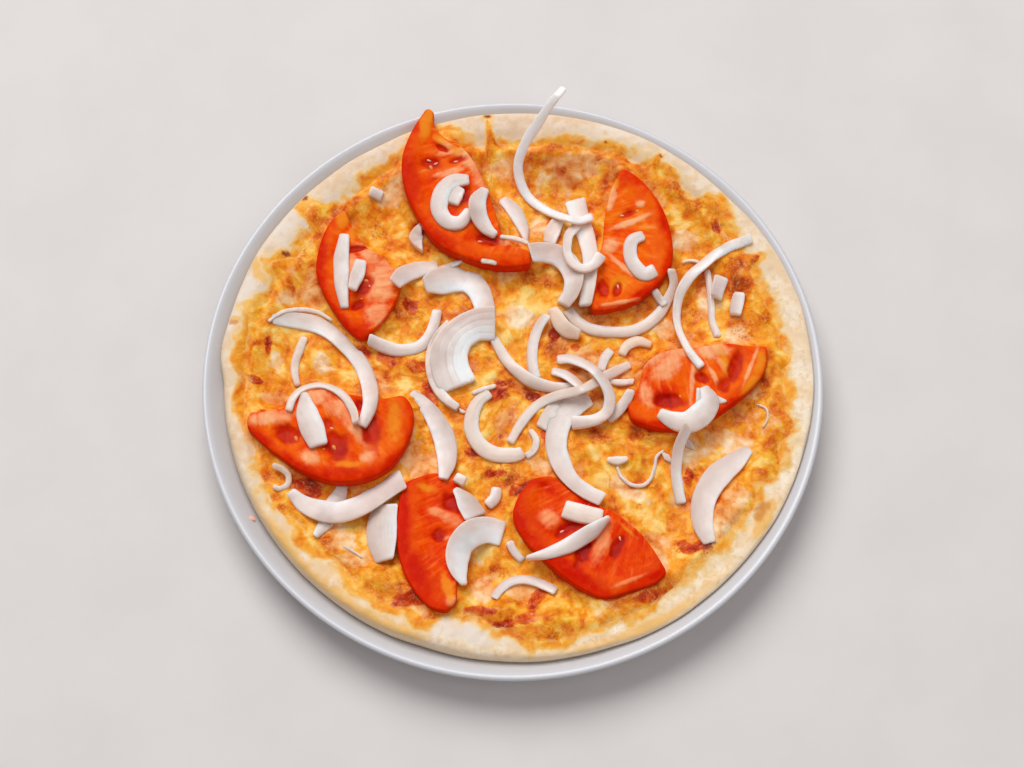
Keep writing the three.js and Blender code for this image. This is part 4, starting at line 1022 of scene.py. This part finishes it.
# A slice: rounded sections from the skin side to the cut side, set along both sides at once, flat across
# the top but for the sunk gel and the raised walls.
def tomatoShape(node, looks):
    plane, (skin, cut) = tomatoSides(node)
    middle, gap = (skin + cut) / 2, skin - cut
    width = np.linalg.norm(gap, axis=1)
    section, base = roundSection(*tomatoes["section"]), plane(middle[:, 0], middle[:, 1])
    rings, fields = carriedBody(middle, gap / width[:, None], width, base, 0 * width, tomatoes["thickness"],
                                section, tomatoes["radius"], tomatoes["end"], tomatoes["sink"])
    x, y = rings[..., 0], rings[..., 1]
    rings[..., 2] += plane(x, y) - base[:, None]
    pixels, top = pixelOf(rings), fields["top"]
    marks = {name: patchField(pixels, looks[name], *tomatoes["patches"])
             for name in ("gel", "wall", "yellow", "red")}
    fromSkin = (width[:, None] / 2 - fields["across"]) / (looks["band"] * 0.5)
    wave = layeredNoise(x, y, *tomatoes["wave"])
    sunk = marks["gel"] * (tomatoes["gelDepth"] + wave * tomatoes["sunkWave"])
    rings[..., 2] += top * (marks["wall"] * tomatoes["wallHeight"] - sunk + wave * tomatoes["topWave"])
    rings[..., 2] += top * tomatoes["skinRidge"] * smoothStep(1.6, 0.2, np.abs(fromSkin - 0.5) * 2)
    skinward = smoothStep(0.34, 0.0, fromSkin + wave * 0.12)
    fields = {"skin": np.maximum(skinward, (1 - top) * (section["flat"] > 0)),
              "flesh": smoothStep(0.2, 1.3, fromSkin + wave * 0.3),
              "band": smoothStep(0.75, 0.0, np.abs(fromSkin - 0.7 + wave * 0.3)) * top,
              "gel": marks["gel"] * top, "wall": marks["wall"] * top * (1 - marks["gel"] * 0.6),
              "yellow": marks["yellow"] * top, "unripe": looks["unripe"] - marks["red"] * tomatoes["redder"],
              "streak": np.stack([fields["along"], fields["across"] * tomatoes["stretch"],
                                  0 * x + looks["unripe"] * 70], -1)}
    pieces = [ringShape(rings, fields)]
    # Seeds with a fourth number are painted glints: smaller pale drops in place of highlights.
    for px, py, angle, *glintAndCrumb in looks["seeds"]:
        place = seenOn((px, py), plane(0, 0) + tomatoes["thickness"],
                       lambda x, y: float(plane(x, y)) + tomatoes["thickness"], 2)
        place[2] -= tomatoes["seedDepth"]
        size = tomatoes["glintSeedSize" if glintAndCrumb else "seedSize"]
        pieces.append(seedShape(place, angle, size, "glintAndCrumb" if glintAndCrumb else "seed"))
    return joinShapes([faceOutward(piece) for piece in pieces])


# How finely a seed is cut, how far its tips are left out, and how much narrower one end is.
seeds = {"rings": 9, "around": 12, "tip": 0.06, "taper": 0.28}


# A seed: a flattened drop, wider at one end.
def seedShape(place, angle, size, field):
    t = np.linspace(seeds["tip"], math.pi - seeds["tip"], seeds["rings"])[:, None]
    around = roundAngles(seeds["around"])[None]
    u = -np.cos(t) + 0 * around
    wide = np.sin(t) * (1 - seeds["taper"] * u)
    x, y, z = u * size[0] / 2, wide * np.cos(around) * size[1] / 2, wide * np.sin(around) * size[2] / 2
    c, s = math.cos(math.radians(-angle)), math.sin(math.radians(-angle))
    rings = np.stack([place[0] + x * c - y * s, place[1] + x * s + y * c, place[2] + z], -1)
    return ringShape(rings, {field: np.ones(x.shape)})


# Tomato: a red that turns orange where it is unripe, then skin, pale walls, streaks, yellow, gel, seeds and
# the pale pink that paints the glints and colours the crumb.
def ripeTomato():
    s = Shader("ripeTomato")
    broad, fine, grain = s.noise(9, 3, warp=0.8), s.noise(2.8, 4, 0.55, warp=0.6), s.noise(0.6, 3)
    skin, flesh, band, gel, wall = s.attributes("skin", "flesh", "band", "gel", "wall")
    yellow, seed, unripe, glintAndCrumb = s.attributes("yellow", "seed", "unripe", "glintAndCrumb")
    streak = s.noise(2.6, 3, 0.6, s.attribute("streak", "Vector"))
    wave = (fine - 0.5) * 0.7
    shade = unripe + (broad - 0.5) * 0.9 + wave * 0.4 + (flesh - 0.5) * 0.15 + (streak - 0.5) * flesh * 0.9
    red = s.ramp(shade, [(0.0, (206, 22, 1)), (0.25, (222, 42, 2)), (0.5, (236, 72, 3)),
                         (0.75, (244, 104, 8)), (1.0, (250, 144, 36))])
    pale = s.ramp(shade, [(0.0, (236, 100, 56)), (0.4, (248, 144, 90)), (0.8, (254, 188, 136))])
    deep = s.ramp(shade, [(0.0, (132, 4, 2)), (0.4, (176, 12, 2)), (0.8, (208, 40, 6))])
    # The last coat is pale pink: painted glints on the slices, and the crumb's own colour.
    colour = s.paint(
        red, ((238, 104, 12), s.between(band + wave, 0.2, 1.0) * unripe * 0.7), ((218, 40, 2), skin * 0.75),
        (pale, s.between(wall + wave, 0.0, 0.95) * 0.9),
        ((250, 156, 92), s.between(streak, 0.56, 0.8) * s.between(flesh, 0.3, 0.9) * 0.5),
        ((242, 150, 34), s.between(yellow + wave, 0.0, 1.1) * 0.7),
        (deep, s.between(gel + wave + (streak - 0.5) * 0.6, 0.05, 0.75) * 0.95),
        ((238, 156, 80), seed), ((248, 186, 158), glintAndCrumb))
    rough = 0.3 - gel * 0.1 + wall * 0.15 - skin * 0.06 + grain * 0.08
    return s.finish(bump=(fine * 0.6 + grain * 0.2 + broad + streak * 0.5, 0.4, 0.7), Base_Color=colour,
                    Roughness=rough, Specular_IOR_Level=0.015, Coat_Weight=gel * 0.05 + 0.008,
                    Coat_Roughness=0.05)


tomatoSkin = ripeTomato()
for node, looks in tomatoes["slices"].items():
    name = node.replace("tomato_", "tomatoSlice_")
    addPiece(name, tomatoShape(node, looks), tomatoSkin, (node,))
# A crumb of tomato that has fallen on the plate's wall.
crumb = {"seen": (252, 519), "level": 16.0, "lift": 0.2, "turn": 20, "size": (3.4, 2.6, 1.4)}
place = seenOn(crumb["seen"], crumb["level"], lambda x, y: float(wellHeight(np.hypot(x, y))), 5)
place[2] += crumb["lift"]
# The crumb's pale pink own colour comes from the field that also paints the slices' glints.
shape = faceOutward(seedShape(place, crumb["turn"], crumb["size"], "glintAndCrumb"))
addPiece("tomatoCrumb", shape, tomatoSkin)
print("tomatoes made")

# Pieces of onion: the middle line as it is seen, the widths in mm from end to end, and what isn't usual.
# Lift is painted light: it makes a piece whiter, and greyer where it is below zero; clear shows more of its
# glassy flesh.
onions = {
    "thin": 0.54, "step": 0.8, "radius": 0.7, "end": 0.5, "reach": 3.2, "ridge": 0.05, "groove": 0.35,
    "crown": 0.5, "sink": 1.3, "bed": 0.5, "broad": 7.5, "roll": 0.6, "rise": 0.52, "below": 0.483,
    "points": 61, "least": 12, "even": 7, "overlap": 1, "under": 1.2, "spread": 9, "soft": 5.0,
    "section": (8, 5), "tops": (16, 26), "wander": (7, 0.35), "swell": (6, 103, 2, 0.25), "fibre": 0.12,
    "apart": 13, "lean": 0.5, "spreading": 0.04,
    "usual": {"thickness": 3.6, "highest": 99.0, "layers": 1, "lift": 0.0, "clear": 0.0},
    "pieces": {
        "petal_top": ([(575, 198), (583, 225), (590, 250), (589, 280), (585, 303)], [11, 8, 6.5],
            {"lift": 0.3, "clear": 0.2}),
        "fork_top": ([(530, 250), (545, 250), (558, 253), (569, 263), (574, 276), (571, 290), (563, 301)],
            [9.5, 10, 10, 8]),
        "hook_top": ([(577, 222), (569, 233), (567, 245), (571, 257), (582, 264), (594, 261), (602, 252)],
            [5, 4.5, 5, 6]),
        "long_top": ([(564, 85), (551, 100), (538, 117), (525, 140), (518, 168), (527, 193), (550, 210),
            (577, 216), (593, 214)], [4, 5, 5, 4.5, 4.5], {"lift": 0.9, "clear": 0.12, "highest": 55.6}),
        "curl_upper_left": ([(469, 177), (453, 179), (442, 191), (439, 206), (447, 219), (460, 220),
            (470, 208)], [5, 8, 9.5, 9, 8, 7, 5]),
        "bow_upper_left": ([(485, 186), (478, 199), (479, 213), (486, 225), (496, 233)],
            [4, 8.5, 9.5, 8, 3.5]),
        "drop_upper_left": ([(502, 197), (513, 207), (521, 221), (527, 240)], [5, 8.5, 6.5, 2]),
        "cube_upper_left": ([(370, 189), (382, 194)], [5.5, 5.5], {"thickness": 5}),
        "hook_on_tomato": ([(644, 233), (633, 238), (630, 250), (634, 262), (645, 272), (656, 268)],
            [5, 7, 7, 7.5, 7]),
        "half_ring_upper_right": ([(568, 308), (578, 320), (595, 328), (620, 330), (640, 326), (655, 316),
            (667, 300), (674, 282), (672, 267)], [6, 6, 5.5, 6, 6, 5, 4.5], {"clear": 0.3}),
        "stub_middle": ([(553, 306), (558, 318), (566, 327), (580, 333)], [5, 7, 7, 4], {"clear": 0.8}),
        "sliver_right": ([(707, 268), (710, 281), (711, 300), (713, 320), (718, 335)],
            [3, 3.5, 3.5, 3.5, 4]),
        "block_right": ([(722, 274), (717, 294)], [7.5, 6], {"thickness": 5}),
        "bean_right": ([(740, 290), (738, 301), (736, 312)], [5.5, 7.2, 5.5], {"thickness": 5}),
        "long_right": ([(752, 236), (738, 242), (720, 250), (704, 262), (690, 275), (681, 290), (677, 308),
            (679, 326), (686, 342), (694, 355), (702, 365)], [5, 5.5, 6, 5, 4.5, 4, 4, 4.5],
            {"lift": 0.4, "clear": 0.15}),
        "strip_on_tomato": ([(344, 232), (341, 255), (341, 280), (344, 306)], [5, 8, 7.5, 4]),
        "chip_on_tomato": ([(361, 258), (357, 272), (352, 287)], [6, 7, 4]),
        "end_upper": ([(394, 281), (405, 272), (420, 267), (438, 265)], [6, 8.5, 8.5, 6]),
        "broad_arc": ([(424, 283), (440, 279), (455, 277), (468, 279), (478, 288), (483, 300), (485, 312)],
            [6, 13, 14, 13, 12, 11, 10], {"lift": 0.15}),
        "bow_middle_left": ([(368, 337), (380, 343), (392, 347), (405, 348), (418, 345), (428, 336),
            (434, 322), (437, 308)], [5, 6.5, 6.5, 6.5, 6, 5.5, 5]),
        "layered_half_ring": ([(495, 320), (475, 322), (459, 332), (450, 348), (450, 366), (458, 384)],
            [15, 15, 16, 18.5, 19, 20], {"thickness": 5.5, "layers": 5, "lift": 0.25}),
        "short_bow": ([(547, 313), (540, 323), (535, 335), (532, 350), (533, 365), (536, 377)],
            [5, 5.5, 5.5, 5.5]),
        "bow_middle": ([(494, 336), (500, 348), (508, 360), (520, 371), (535, 380), (552, 385), (575, 386)],
            [4.5, 5.5, 5.5, 5.5, 5, 4.5], {"clear": 0.2}),
        "stub_middle_right": ([(552, 369), (565, 372), (577, 380), (586, 388)], [4, 5.5, 5.5, 4]),
        "petal_arc": ([(590, 396), (574, 404), (563, 416), (557, 432), (557, 448), (562, 463), (572, 478),
            (587, 490), (603, 498)], [8, 12, 12, 11, 10.5, 10, 9, 9, 8.5]),
        "edge_right": ([(631, 388), (626, 399), (617, 410), (608, 418)], [4.5, 6, 6, 4]),
        "stub_right": ([(611, 348), (604, 357), (601, 369)], [4.5, 5, 4]),
        "half_ring_middle": ([(490, 391), (480, 398), (473, 410), (471, 425), (475, 437), (485, 448),
            (500, 453), (515, 453), (523, 450)], [4.5, 6, 7, 7.5, 7.5, 8, 8, 8, 6], {"clear": 0.35}),
        "long_strip_middle": ([(630, 362), (612, 371), (595, 380), (575, 388), (555, 394), (538, 403),
            (525, 416), (516, 430), (510, 441)], [4, 4.5, 4.5, 4.5, 5, 5, 4], {"clear": 0.3}),
        "half_ring_right": ([(557, 358), (570, 357), (585, 362), (597, 370), (606, 383), (610, 396),
            (607, 409), (597, 417), (585, 420), (572, 420)], [4.5, 5.5, 5.5, 5.5, 5.5, 6, 6, 6.5]),
        "pink_arc": ([(622, 353), (627, 344), (638, 339), (652, 343)], [4, 5.5, 5.5, 3], {"clear": 0.85}),
        "crescent_middle_left": ([(411, 391), (422, 401), (433, 414), (441, 428), (446, 445), (447, 460),
            (443, 477)], [5, 7, 9.5, 11, 11, 9, 4.5]),
        "thin_strip_left": ([(304, 335), (299, 347), (295, 360), (294, 372), (297, 384)], [4, 4.5, 4, 4, 3],
            {"clear": 0.3}),
        "wedge_on_tomato": ([(304, 391), (306, 408), (312, 427), (318, 444)], [3, 11, 12.5, 9]),
        "big_arc_left": ([(272, 318), (290, 318), (310, 321), (328, 329), (343, 341), (355, 354),
            (364, 369), (369, 385), (370, 400), (366, 414), (361, 424)],
            [5, 8, 9, 8.5, 8, 8, 8, 8, 8, 7, 5]),
        "thin_arc_left": ([(288, 409), (292, 397), (300, 388), (312, 384), (325, 384), (337, 389),
            (347, 398), (353, 410), (355, 420)], [3.5, 4, 3.5, 3.5, 3.5, 4, 4, 4, 3.5], {"clear": 0.3}),
        "hook_left": ([(272, 464), (281, 467), (288, 474), (287, 483), (279, 488), (273, 486)],
            [2.5, 3, 3, 2.5], {"clear": 0.5, "thickness": 3}),
        "slip_lower_left": ([(345, 482), (336, 500), (326, 520), (315, 536)], [3, 10, 8, 3]),
        "petal_lower_left": ([(385, 503), (381, 530), (384, 559)], [13, 15.5, 14.5, 9]),
        "big_arc_lower_left": ([(290, 490), (303, 502), (320, 508), (338, 510), (355, 506), (372, 496),
            (387, 485), (403, 477)], [5, 9, 11.5, 11, 11, 12.5, 14, 12]),
        "petal_bottom": ([(455, 487), (465, 498), (476, 515)], [3, 11, 12]),
        "knob_bottom": ([(497, 486), (495, 496), (487, 504)], [5, 6, 5]),
        "curl_bottom": ([(503, 533), (488, 528), (473, 531), (461, 542), (457, 557), (459, 571),
            (464, 583)], [13, 12.5, 12, 11.5, 11.5, 9, 3], {"lift": 0.4}),
        "stick_bottom": ([(509, 540), (515, 550), (523, 559)], [4, 5, 4]),
        "block_bottom": ([(564, 506), (580, 511), (603, 515)], [9, 9.5, 8], {"clear": 0.3, "thickness": 5}),
        "crescent_bottom": ([(526, 556), (548, 552), (570, 543), (590, 531), (610, 514)], [2, 6, 8, 7, 2]),
        "arc_bottom": ([(494, 597), (500, 588), (509, 581), (521, 578), (535, 580), (547, 585), (556, 590)],
            [4, 4.5, 4.5, 4.5, 5, 4.5]),
        "crescent_right": ([(750, 447), (734, 461), (718, 474), (708, 489), (703, 506), (704, 524),
            (710, 542)], [5, 11, 13, 12.5, 11.5, 10, 6], {"lift": -0.25}),
        "saddle_right": ([(659, 411), (673, 418), (688, 420), (702, 412), (710, 399), (704, 385)],
            [5, 9, 11.5, 12.5, 10, 4]),
        "strip_right": ([(690, 421), (684, 433), (679, 446), (677, 461), (677, 476), (679, 490),
            (682, 502)], [5, 5, 5.5, 5.5, 5.5, 5.5, 5]),
    },
}


# A line cut into even steps, with the level direction to its side and its smoothly read widths.
def evenLine(place, widths, step, least):
    length = np.linalg.norm(np.diff(place[:, :2], axis=0), axis=1).sum()
    count = max(least, int(length / step))
    line = smoothLine(place[:, :2], count)
    along = np.gradient(line, axis=0)
    side = np.stack([-along[:, 1], along[:, 0]], -1) / np.linalg.norm(along, axis=1)[:, None]
    width = np.interp(np.linspace(0, 1, count), np.linspace(0, 1, len(widths)), widths)
    return line, side, width, length


# Where a piece of onion lies: its seen line set on its solid, and the widths, base and roll on the way.
def onionLine(node, seen, widths, extras={}):
    own = {**onions["usual"], **extras}
    points, thickness, highest = nodePoints(node), own["thickness"], own["highest"]

    def height(x, y):
        level = nearPlane(points, x, y, onions["reach"])[:, 0]
        return np.minimum(level, highest) + onions["rise"] * thickness

    pixels = smoothLine(seen, onions["points"])
    place = seenOn(pixels, np.full(onions["points"], points[:, 2].mean() + thickness / 2), height)
    line, side, width, length = evenLine(place, widths, onions["step"], onions["least"])
    plane = nearPlane(points, line[:, 0], line[:, 1], onions["reach"])
    steps, even = np.diff(place[:, :2], axis=0), onions["even"]
    return {**own, "line": line, "side": side, "length": length,
            "width": np.convolve(np.pad(width, even // 2, mode="edge"), np.ones(even) / even, "valid"),
            "base": np.minimum(plane[:, 0], highest) - onions["below"] * thickness,
            "roll": np.clip((plane[:, 1:] * side).sum(1), -onions["roll"], onions["roll"]),
            "bending": (steps[:-1, 0] * steps[1:, 1] - steps[:-1, 1] * steps[1:, 0]).sum()}


# How far a piece sinks because the pieces under it are cut thinner than their solids, evened out on the way.
def onionDrop(own, laid):
    drop = np.zeros(len(own["line"]))
    for other in laid:
        if other is own:
            continue
        away = np.linalg.norm(own["line"][:, None] - other["line"][None], axis=2)
        near = away.argmin(1)
        under = (away.min(1) < other["width"][near] / 2 + onions["overlap"])
        under &= other["base"][near] < own["base"] - onions["under"]
        drop += under * other["thickness"] * (1 - onions["thin"])
    reach = onions["spread"]
    spread = np.exp(-(np.arange(-reach, reach + 1) / onions["soft"]) ** 2)
    return np.convolve(np.pad(drop, reach, mode="edge"), spread / spread.sum(), "valid")


# The base of a piece on the way, less its drop, and never so low that the cheese would cover it.
def onionBase(own, laid):
    line = own["line"]
    level = cheeseTop(line[:, 0], line[:, 1], False)
    level = level + pressedUp(line[:, 0], line[:, 1], level) - onions["bed"]
    return np.maximum(own["base"] - onionDrop(own, laid), level)


# The grain's coordinates: short along a piece, so that its fibres run long, and apart from other pieces'.
def grainOf(fields, seed, apart):
    return np.stack([fields["along"] * onions["fibre"], fields["across"] + seed * apart,
                     fields["top"] * 0 + seed], -1)


# A piece of onion. Fine ridges run along the top, and grooves part the layers.
def onionShape(own, seed, laid):
    line, side, width, length = (own[name] for name in ("line", "side", "width", "length"))
    share = np.linspace(0, 1, len(line))
    cell, reach = onions["wander"]
    wander = softNoise(share * length, share * 0 + seed * cell, cell, seed) * reach
    section = roundSection(*onions["section"], onions["tops"][int(width.max() > onions["broad"])])
    rings, fields = carriedBody(line + side * wander[:, None] * onions["lean"], side,
                                width * (1 + onions["spreading"] * wander),
                                onionBase(own, laid), own["roll"], own["thickness"] * onions["thin"],
                                section, onions["radius"], onions["end"], onions["sink"])
    across, top, gone = fields["across"], fields["top"], fields["along"]
    ridges = softNoise(gone * 0.25, across * 1.0 + seed * 11, 1.1, 101) * onions["ridge"]
    cell, first, layers, high = onions["swell"]
    swell = relief(rings[..., 0], rings[..., 1], cell, first + seed, layers, high)
    layers, shares = own["layers"], across / np.maximum(width[:, None], 1)
    phase = (shares + 0.5) * layers
    groove = smoothStep(0.1, 0.0, np.abs(phase - np.round(phase))) * (phase > 0.4) * (phase < layers - 0.4)
    crown = onions["crown"] * (1 - np.minimum(fields["edge"], 1) ** 2)
    rings[..., 2] += top * (ridges + swell + crown - onions["crown"] * 0.6 - onions["groove"] * groove)
    fields = {"grain": grainOf(fields, seed, onions["apart"]),
              "inner": np.clip(np.sign(own["bending"]) * shares + 0.5, 0, 1), "groove": groove * top,
              "top": top, "clear": top * 0 + own["clear"], "lift": top * 0 + own["lift"]}
    return faceOutward(ringShape(rings, fields))


# Onion flesh: white on the inner side of a bend, greyer outside, whiter where lift paints light, then sides
# painted warm and light as a glow through the flesh, glassy flesh and grooves.
def whiteOnion():
    s = Shader("whiteOnion")
    grain = s.attribute("grain", "Vector")
    fibres = s.noise(0.9, 3, 0.6, grain)
    cloud, fine = s.noise(7, 3), s.noise(1.2, 3)
    groove, inner, top, lift, clear = s.attributes("groove", "inner", "top", "lift", "clear")
    # Lift is painted light here: it moves a piece along the ramp towards white, or towards grey below zero.
    shade = inner * 0.9 + (cloud - 0.5) * 0.6 + (fibres - 0.5) * 0.25 + lift
    white = s.ramp(shade, [(0.0, (213, 193, 184)), (0.3, (224, 206, 198)), (0.6, (236, 222, 216)),
                           (0.85, (249, 242, 239)), (1.0, (255, 253, 251))])
    # The sides' warm light tone is painted light: a glow of light through the flesh over their shade.
    colour = s.paint(white, ((252, 216, 194), s.between(top, 0.6, 0.0) * 0.7), ((238, 208, 184), clear),
                     ((206, 194, 184), groove * 0.5))
    rough = 0.3 + s.between(fibres, 0.3, 0.7) * 0.12
    return s.finish(bump=(fibres * 0.5 + fine * 0.3, 0.2, 0.4), Base_Color=colour, Roughness=rough,
                    Specular_IOR_Level=0.3, Coat_Weight=0.05, Coat_Roughness=0.1, Subsurface_Weight=0.8,
                    Subsurface_Radius=(1.0, 0.8, 0.65), Subsurface_Scale=0.005)


onionFlesh = whiteOnion()
laid = {name: onionLine("onion_" + name, *piece) for name, piece in onions["pieces"].items()}
for seed, (name, own) in enumerate(laid.items()):
    shape = onionShape(own, seed, laid.values())
    addPiece("onionPiece_" + name, shape, onionFlesh, ("onion_" + name,))
print("onions made")

# Small bits of onion and thin skins that lie loose on the cheese or on a slice of tomato. Each has its middle
# line as it is seen, its widths and its thickness in mm, and some have their slice and how clear they are.
bits = {
    "step": 0.6, "sunk": 0.7, "level": 16.0, "radius": 0.5, "end": 0.5, "points": 41, "least": 10,
    "lift": 0.3, "section": (6, 4, 8), "clear": 0.2, "apart": 17, "wave": (2.5, 131, 0.2),
    "pieces": {
        "triangle": ([(421, 222), (416, 236), (422, 250)], [0.8, 7.6, 0.8], 4.2),
        "chip_middle": ([(559, 218), (553, 230), (549, 243)], [6.0, 8.0, 6.5], 3.0),
        "chip_right": ([(654, 289), (659, 297), (665, 305)], [3.6, 4.0, 3.6], 3.4),
        "saddle_tip": ([(696, 398), (710, 399), (727, 401)], [12.0, 7.0, 1.0], 1.5, "tomato_right", 0.35),
        "thread_right": ([(757, 404), (766, 408), (768, 417), (763, 427)], [0.8, 1.2, 1.2, 0.8], 1.0, None,
            0.7),
        "skin_right": ([(682, 262), (690, 260), (699, 262), (705, 267)], [1.0, 1.6, 1.6, 1.2], 1.2),
        "under_petal": ([(574, 391), (560, 404), (550, 416), (542, 428)], [7.5, 9.0, 9.0, 7.0], 1.8),
        "strip_crossing": ([(607, 380), (620, 382), (634, 381)], [2.4, 3.4, 3.0], 1.8),
        "hook_middle": ([(530, 429), (536, 439), (534, 449), (526, 456)], [2.4, 3.4, 3.4, 3.2], 2.0),
        "cap_middle": ([(472, 393), (483, 389), (496, 385)], [1.8, 2.6, 2.0], 1.8),
        "block_left": ([(455, 476), (465, 481)], [4.8, 4.8], 3.2, "tomato_bottom_left"),
        "leaf_right": ([(683, 437), (688, 443), (694, 449)], [0.8, 4.2, 0.8], 1.6),
        "leaf_left": ([(662, 452), (667, 457), (672, 462)], [0.8, 3.6, 1.0], 1.6),
        "grain_right": ([(607, 459), (618, 460), (628, 458)], [2.4, 4.4, 2.4], 2.2),
        "hair_right": ([(617, 466), (621, 476), (631, 484), (643, 485), (651, 478), (655, 466), (657, 456),
            (664, 450)], [1.2, 1.6, 1.8, 1.8, 1.8, 1.6, 1.6, 1.2], 1.2),
        "strip_on_tomato": ([(500, 236), (515, 238), (529, 243)], [2.0, 2.6, 2.0], 1.2, "tomato_upper_left",
            0.5),
        "heart_upper_left": ([(461, 187), (456, 194), (453, 203)], [5.0, 7.5, 5.5], 2.6,
            "tomato_upper_left"),
        "strip_upper": ([(481, 260), (489, 261), (497, 263)], [2.4, 2.6, 2.2], 1.0, "tomato_upper_left",
            0.9),
        "sliver_lower_left": ([(343, 546), (353, 551), (362, 557)], [0.8, 1.4, 0.8], 1.2),
        "skin_half_ring": ([(448, 320), (436, 336), (430, 354), (431, 372), (438, 389), (449, 401),
            (458, 407)], [1.6, 3.2, 4.2, 4.8, 5.0, 5.0, 3.6], 3.0),
        "spike_upper": ([(464, 259), (453, 264), (441, 268)], [0.8, 3.0, 3.0], 2.4),
        "skin_big_arc": ([(268, 321), (282, 312), (300, 309), (318, 312), (332, 320)],
            [1.4, 2.2, 2.4, 2.2, 1.2], 1.4),
        "flake_middle": ([(459, 408), (462, 411), (466, 412)], [0.8, 2.0, 0.8], 1.2),
    },
}


# A loose bit: a thin body carried along its line, at the height of the cheese or tomato that it lies on.
def bitShape(seed, pixels, widths, thickness, carrier=None, clear=bits["clear"]):
    if carrier:
        plane = tomatoPlane(carrier)
        ground = lambda x, y: plane(x, y) + tomatoes["thickness"]
    else:
        level = lambda x, y: cheeseTop(x, y, False)
        ground = lambda x, y: level(x, y) + pressedUp(x, y, level(x, y)) + bits["lift"]
    top = lambda x, y: ground(x, y) + thickness
    place = seenOn(smoothLine(pixels, bits["points"]), bits["level"], top, 5)
    line, side, width, _ = evenLine(place, widths, bits["step"], bits["least"])
    section, base = roundSection(*bits["section"]), ground(line[:, 0], line[:, 1]) - bits["sunk"]
    rings, fields = carriedBody(line, side, width, base, 0 * width, thickness + bits["sunk"],
                                section, bits["radius"], bits["end"])
    cell, first, high = bits["wave"]
    rings[..., 2] += fields["top"] * softNoise(rings[..., 0], rings[..., 1], cell, first + seed) * high
    share = fields["across"] / np.maximum(width[:, None], 1) + 0.5
    return faceOutward(ringShape(rings, {"grain": grainOf(fields, seed, bits["apart"]), "top": fields["top"],
                                         "inner": share, "clear": fields["top"] * 0 + clear}))


for seed, (name, piece) in enumerate(bits["pieces"].items()):
    addPiece("onionBit_" + name, bitShape(seed, *piece), onionFlesh)
print("bits made")

# The plain floor, the light and the camera.
studio = {"floor": 3.2, "key": {"place": (-0.85, 2.5, 3.5), "size": 3.4, "power": 163},
          "fill": {"place": (0.9, -0.9, 2.2), "size": 2.0, "power": 8}, "sky": 0.29}


# The floor: two near tones in broad clouds.
def paleFloor():
    s = Shader("paleFloor")
    return s.finish(Base_Color=s.mix((219, 213, 211), (223, 217, 215), s.between(s.noise(60, 3), 0.3, 0.7)),
                    Roughness=0.7)


half = studio["floor"] / 2
floorMesh = bpy.data.meshes.new("floor")
floorMesh.from_pydata([(-half, -half, 0), (half, -half, 0), (half, half, 0), (-half, half, 0)], [],
                      [(0, 1, 2, 3)])
floorMesh.materials.append(paleFloor())
floor = bpy.data.objects.new("floor", floorMesh)
bpy.context.scene.collection.objects.link(floor)
for name in ("key", "fill"):
    lamp = bpy.data.lights.new(name, "AREA")
    lamp.shape, lamp.size, lamp.energy = "DISK", studio[name]["size"], studio[name]["power"]
    holder = bpy.data.objects.new(name, lamp)
    holder.location = studio[name]["place"]
    holder.rotation_euler = (-Vector(studio[name]["place"])).to_track_quat("-Z", "Y").to_euler()
    bpy.context.scene.collection.objects.link(holder)
world = bpy.data.worlds.new("sky")
world.use_nodes = True
world.node_tree.nodes["Background"].inputs["Color"].default_value = (1, 1, 1, 1)
world.node_tree.nodes["Background"].inputs["Strength"].default_value = studio["sky"]
bpy.context.scene.world = world
bpy.context.scene.view_settings.view_transform = "Standard"

lens = bpy.data.cameras.new("camera")
lens.sensor_fit, lens.sensor_width = "HORIZONTAL", shot["sensor"]
lens.lens = shot["focal"] / shot["width"] * shot["sensor"]
camera = bpy.data.objects.new("camera", lens)
camera.location = Vector(eye) * mm
camera.rotation_euler = Vector(ahead).to_track_quat("-Z", "Y").to_euler()
bpy.context.scene.collection.objects.link(camera)
bpy.context.scene.camera = camera
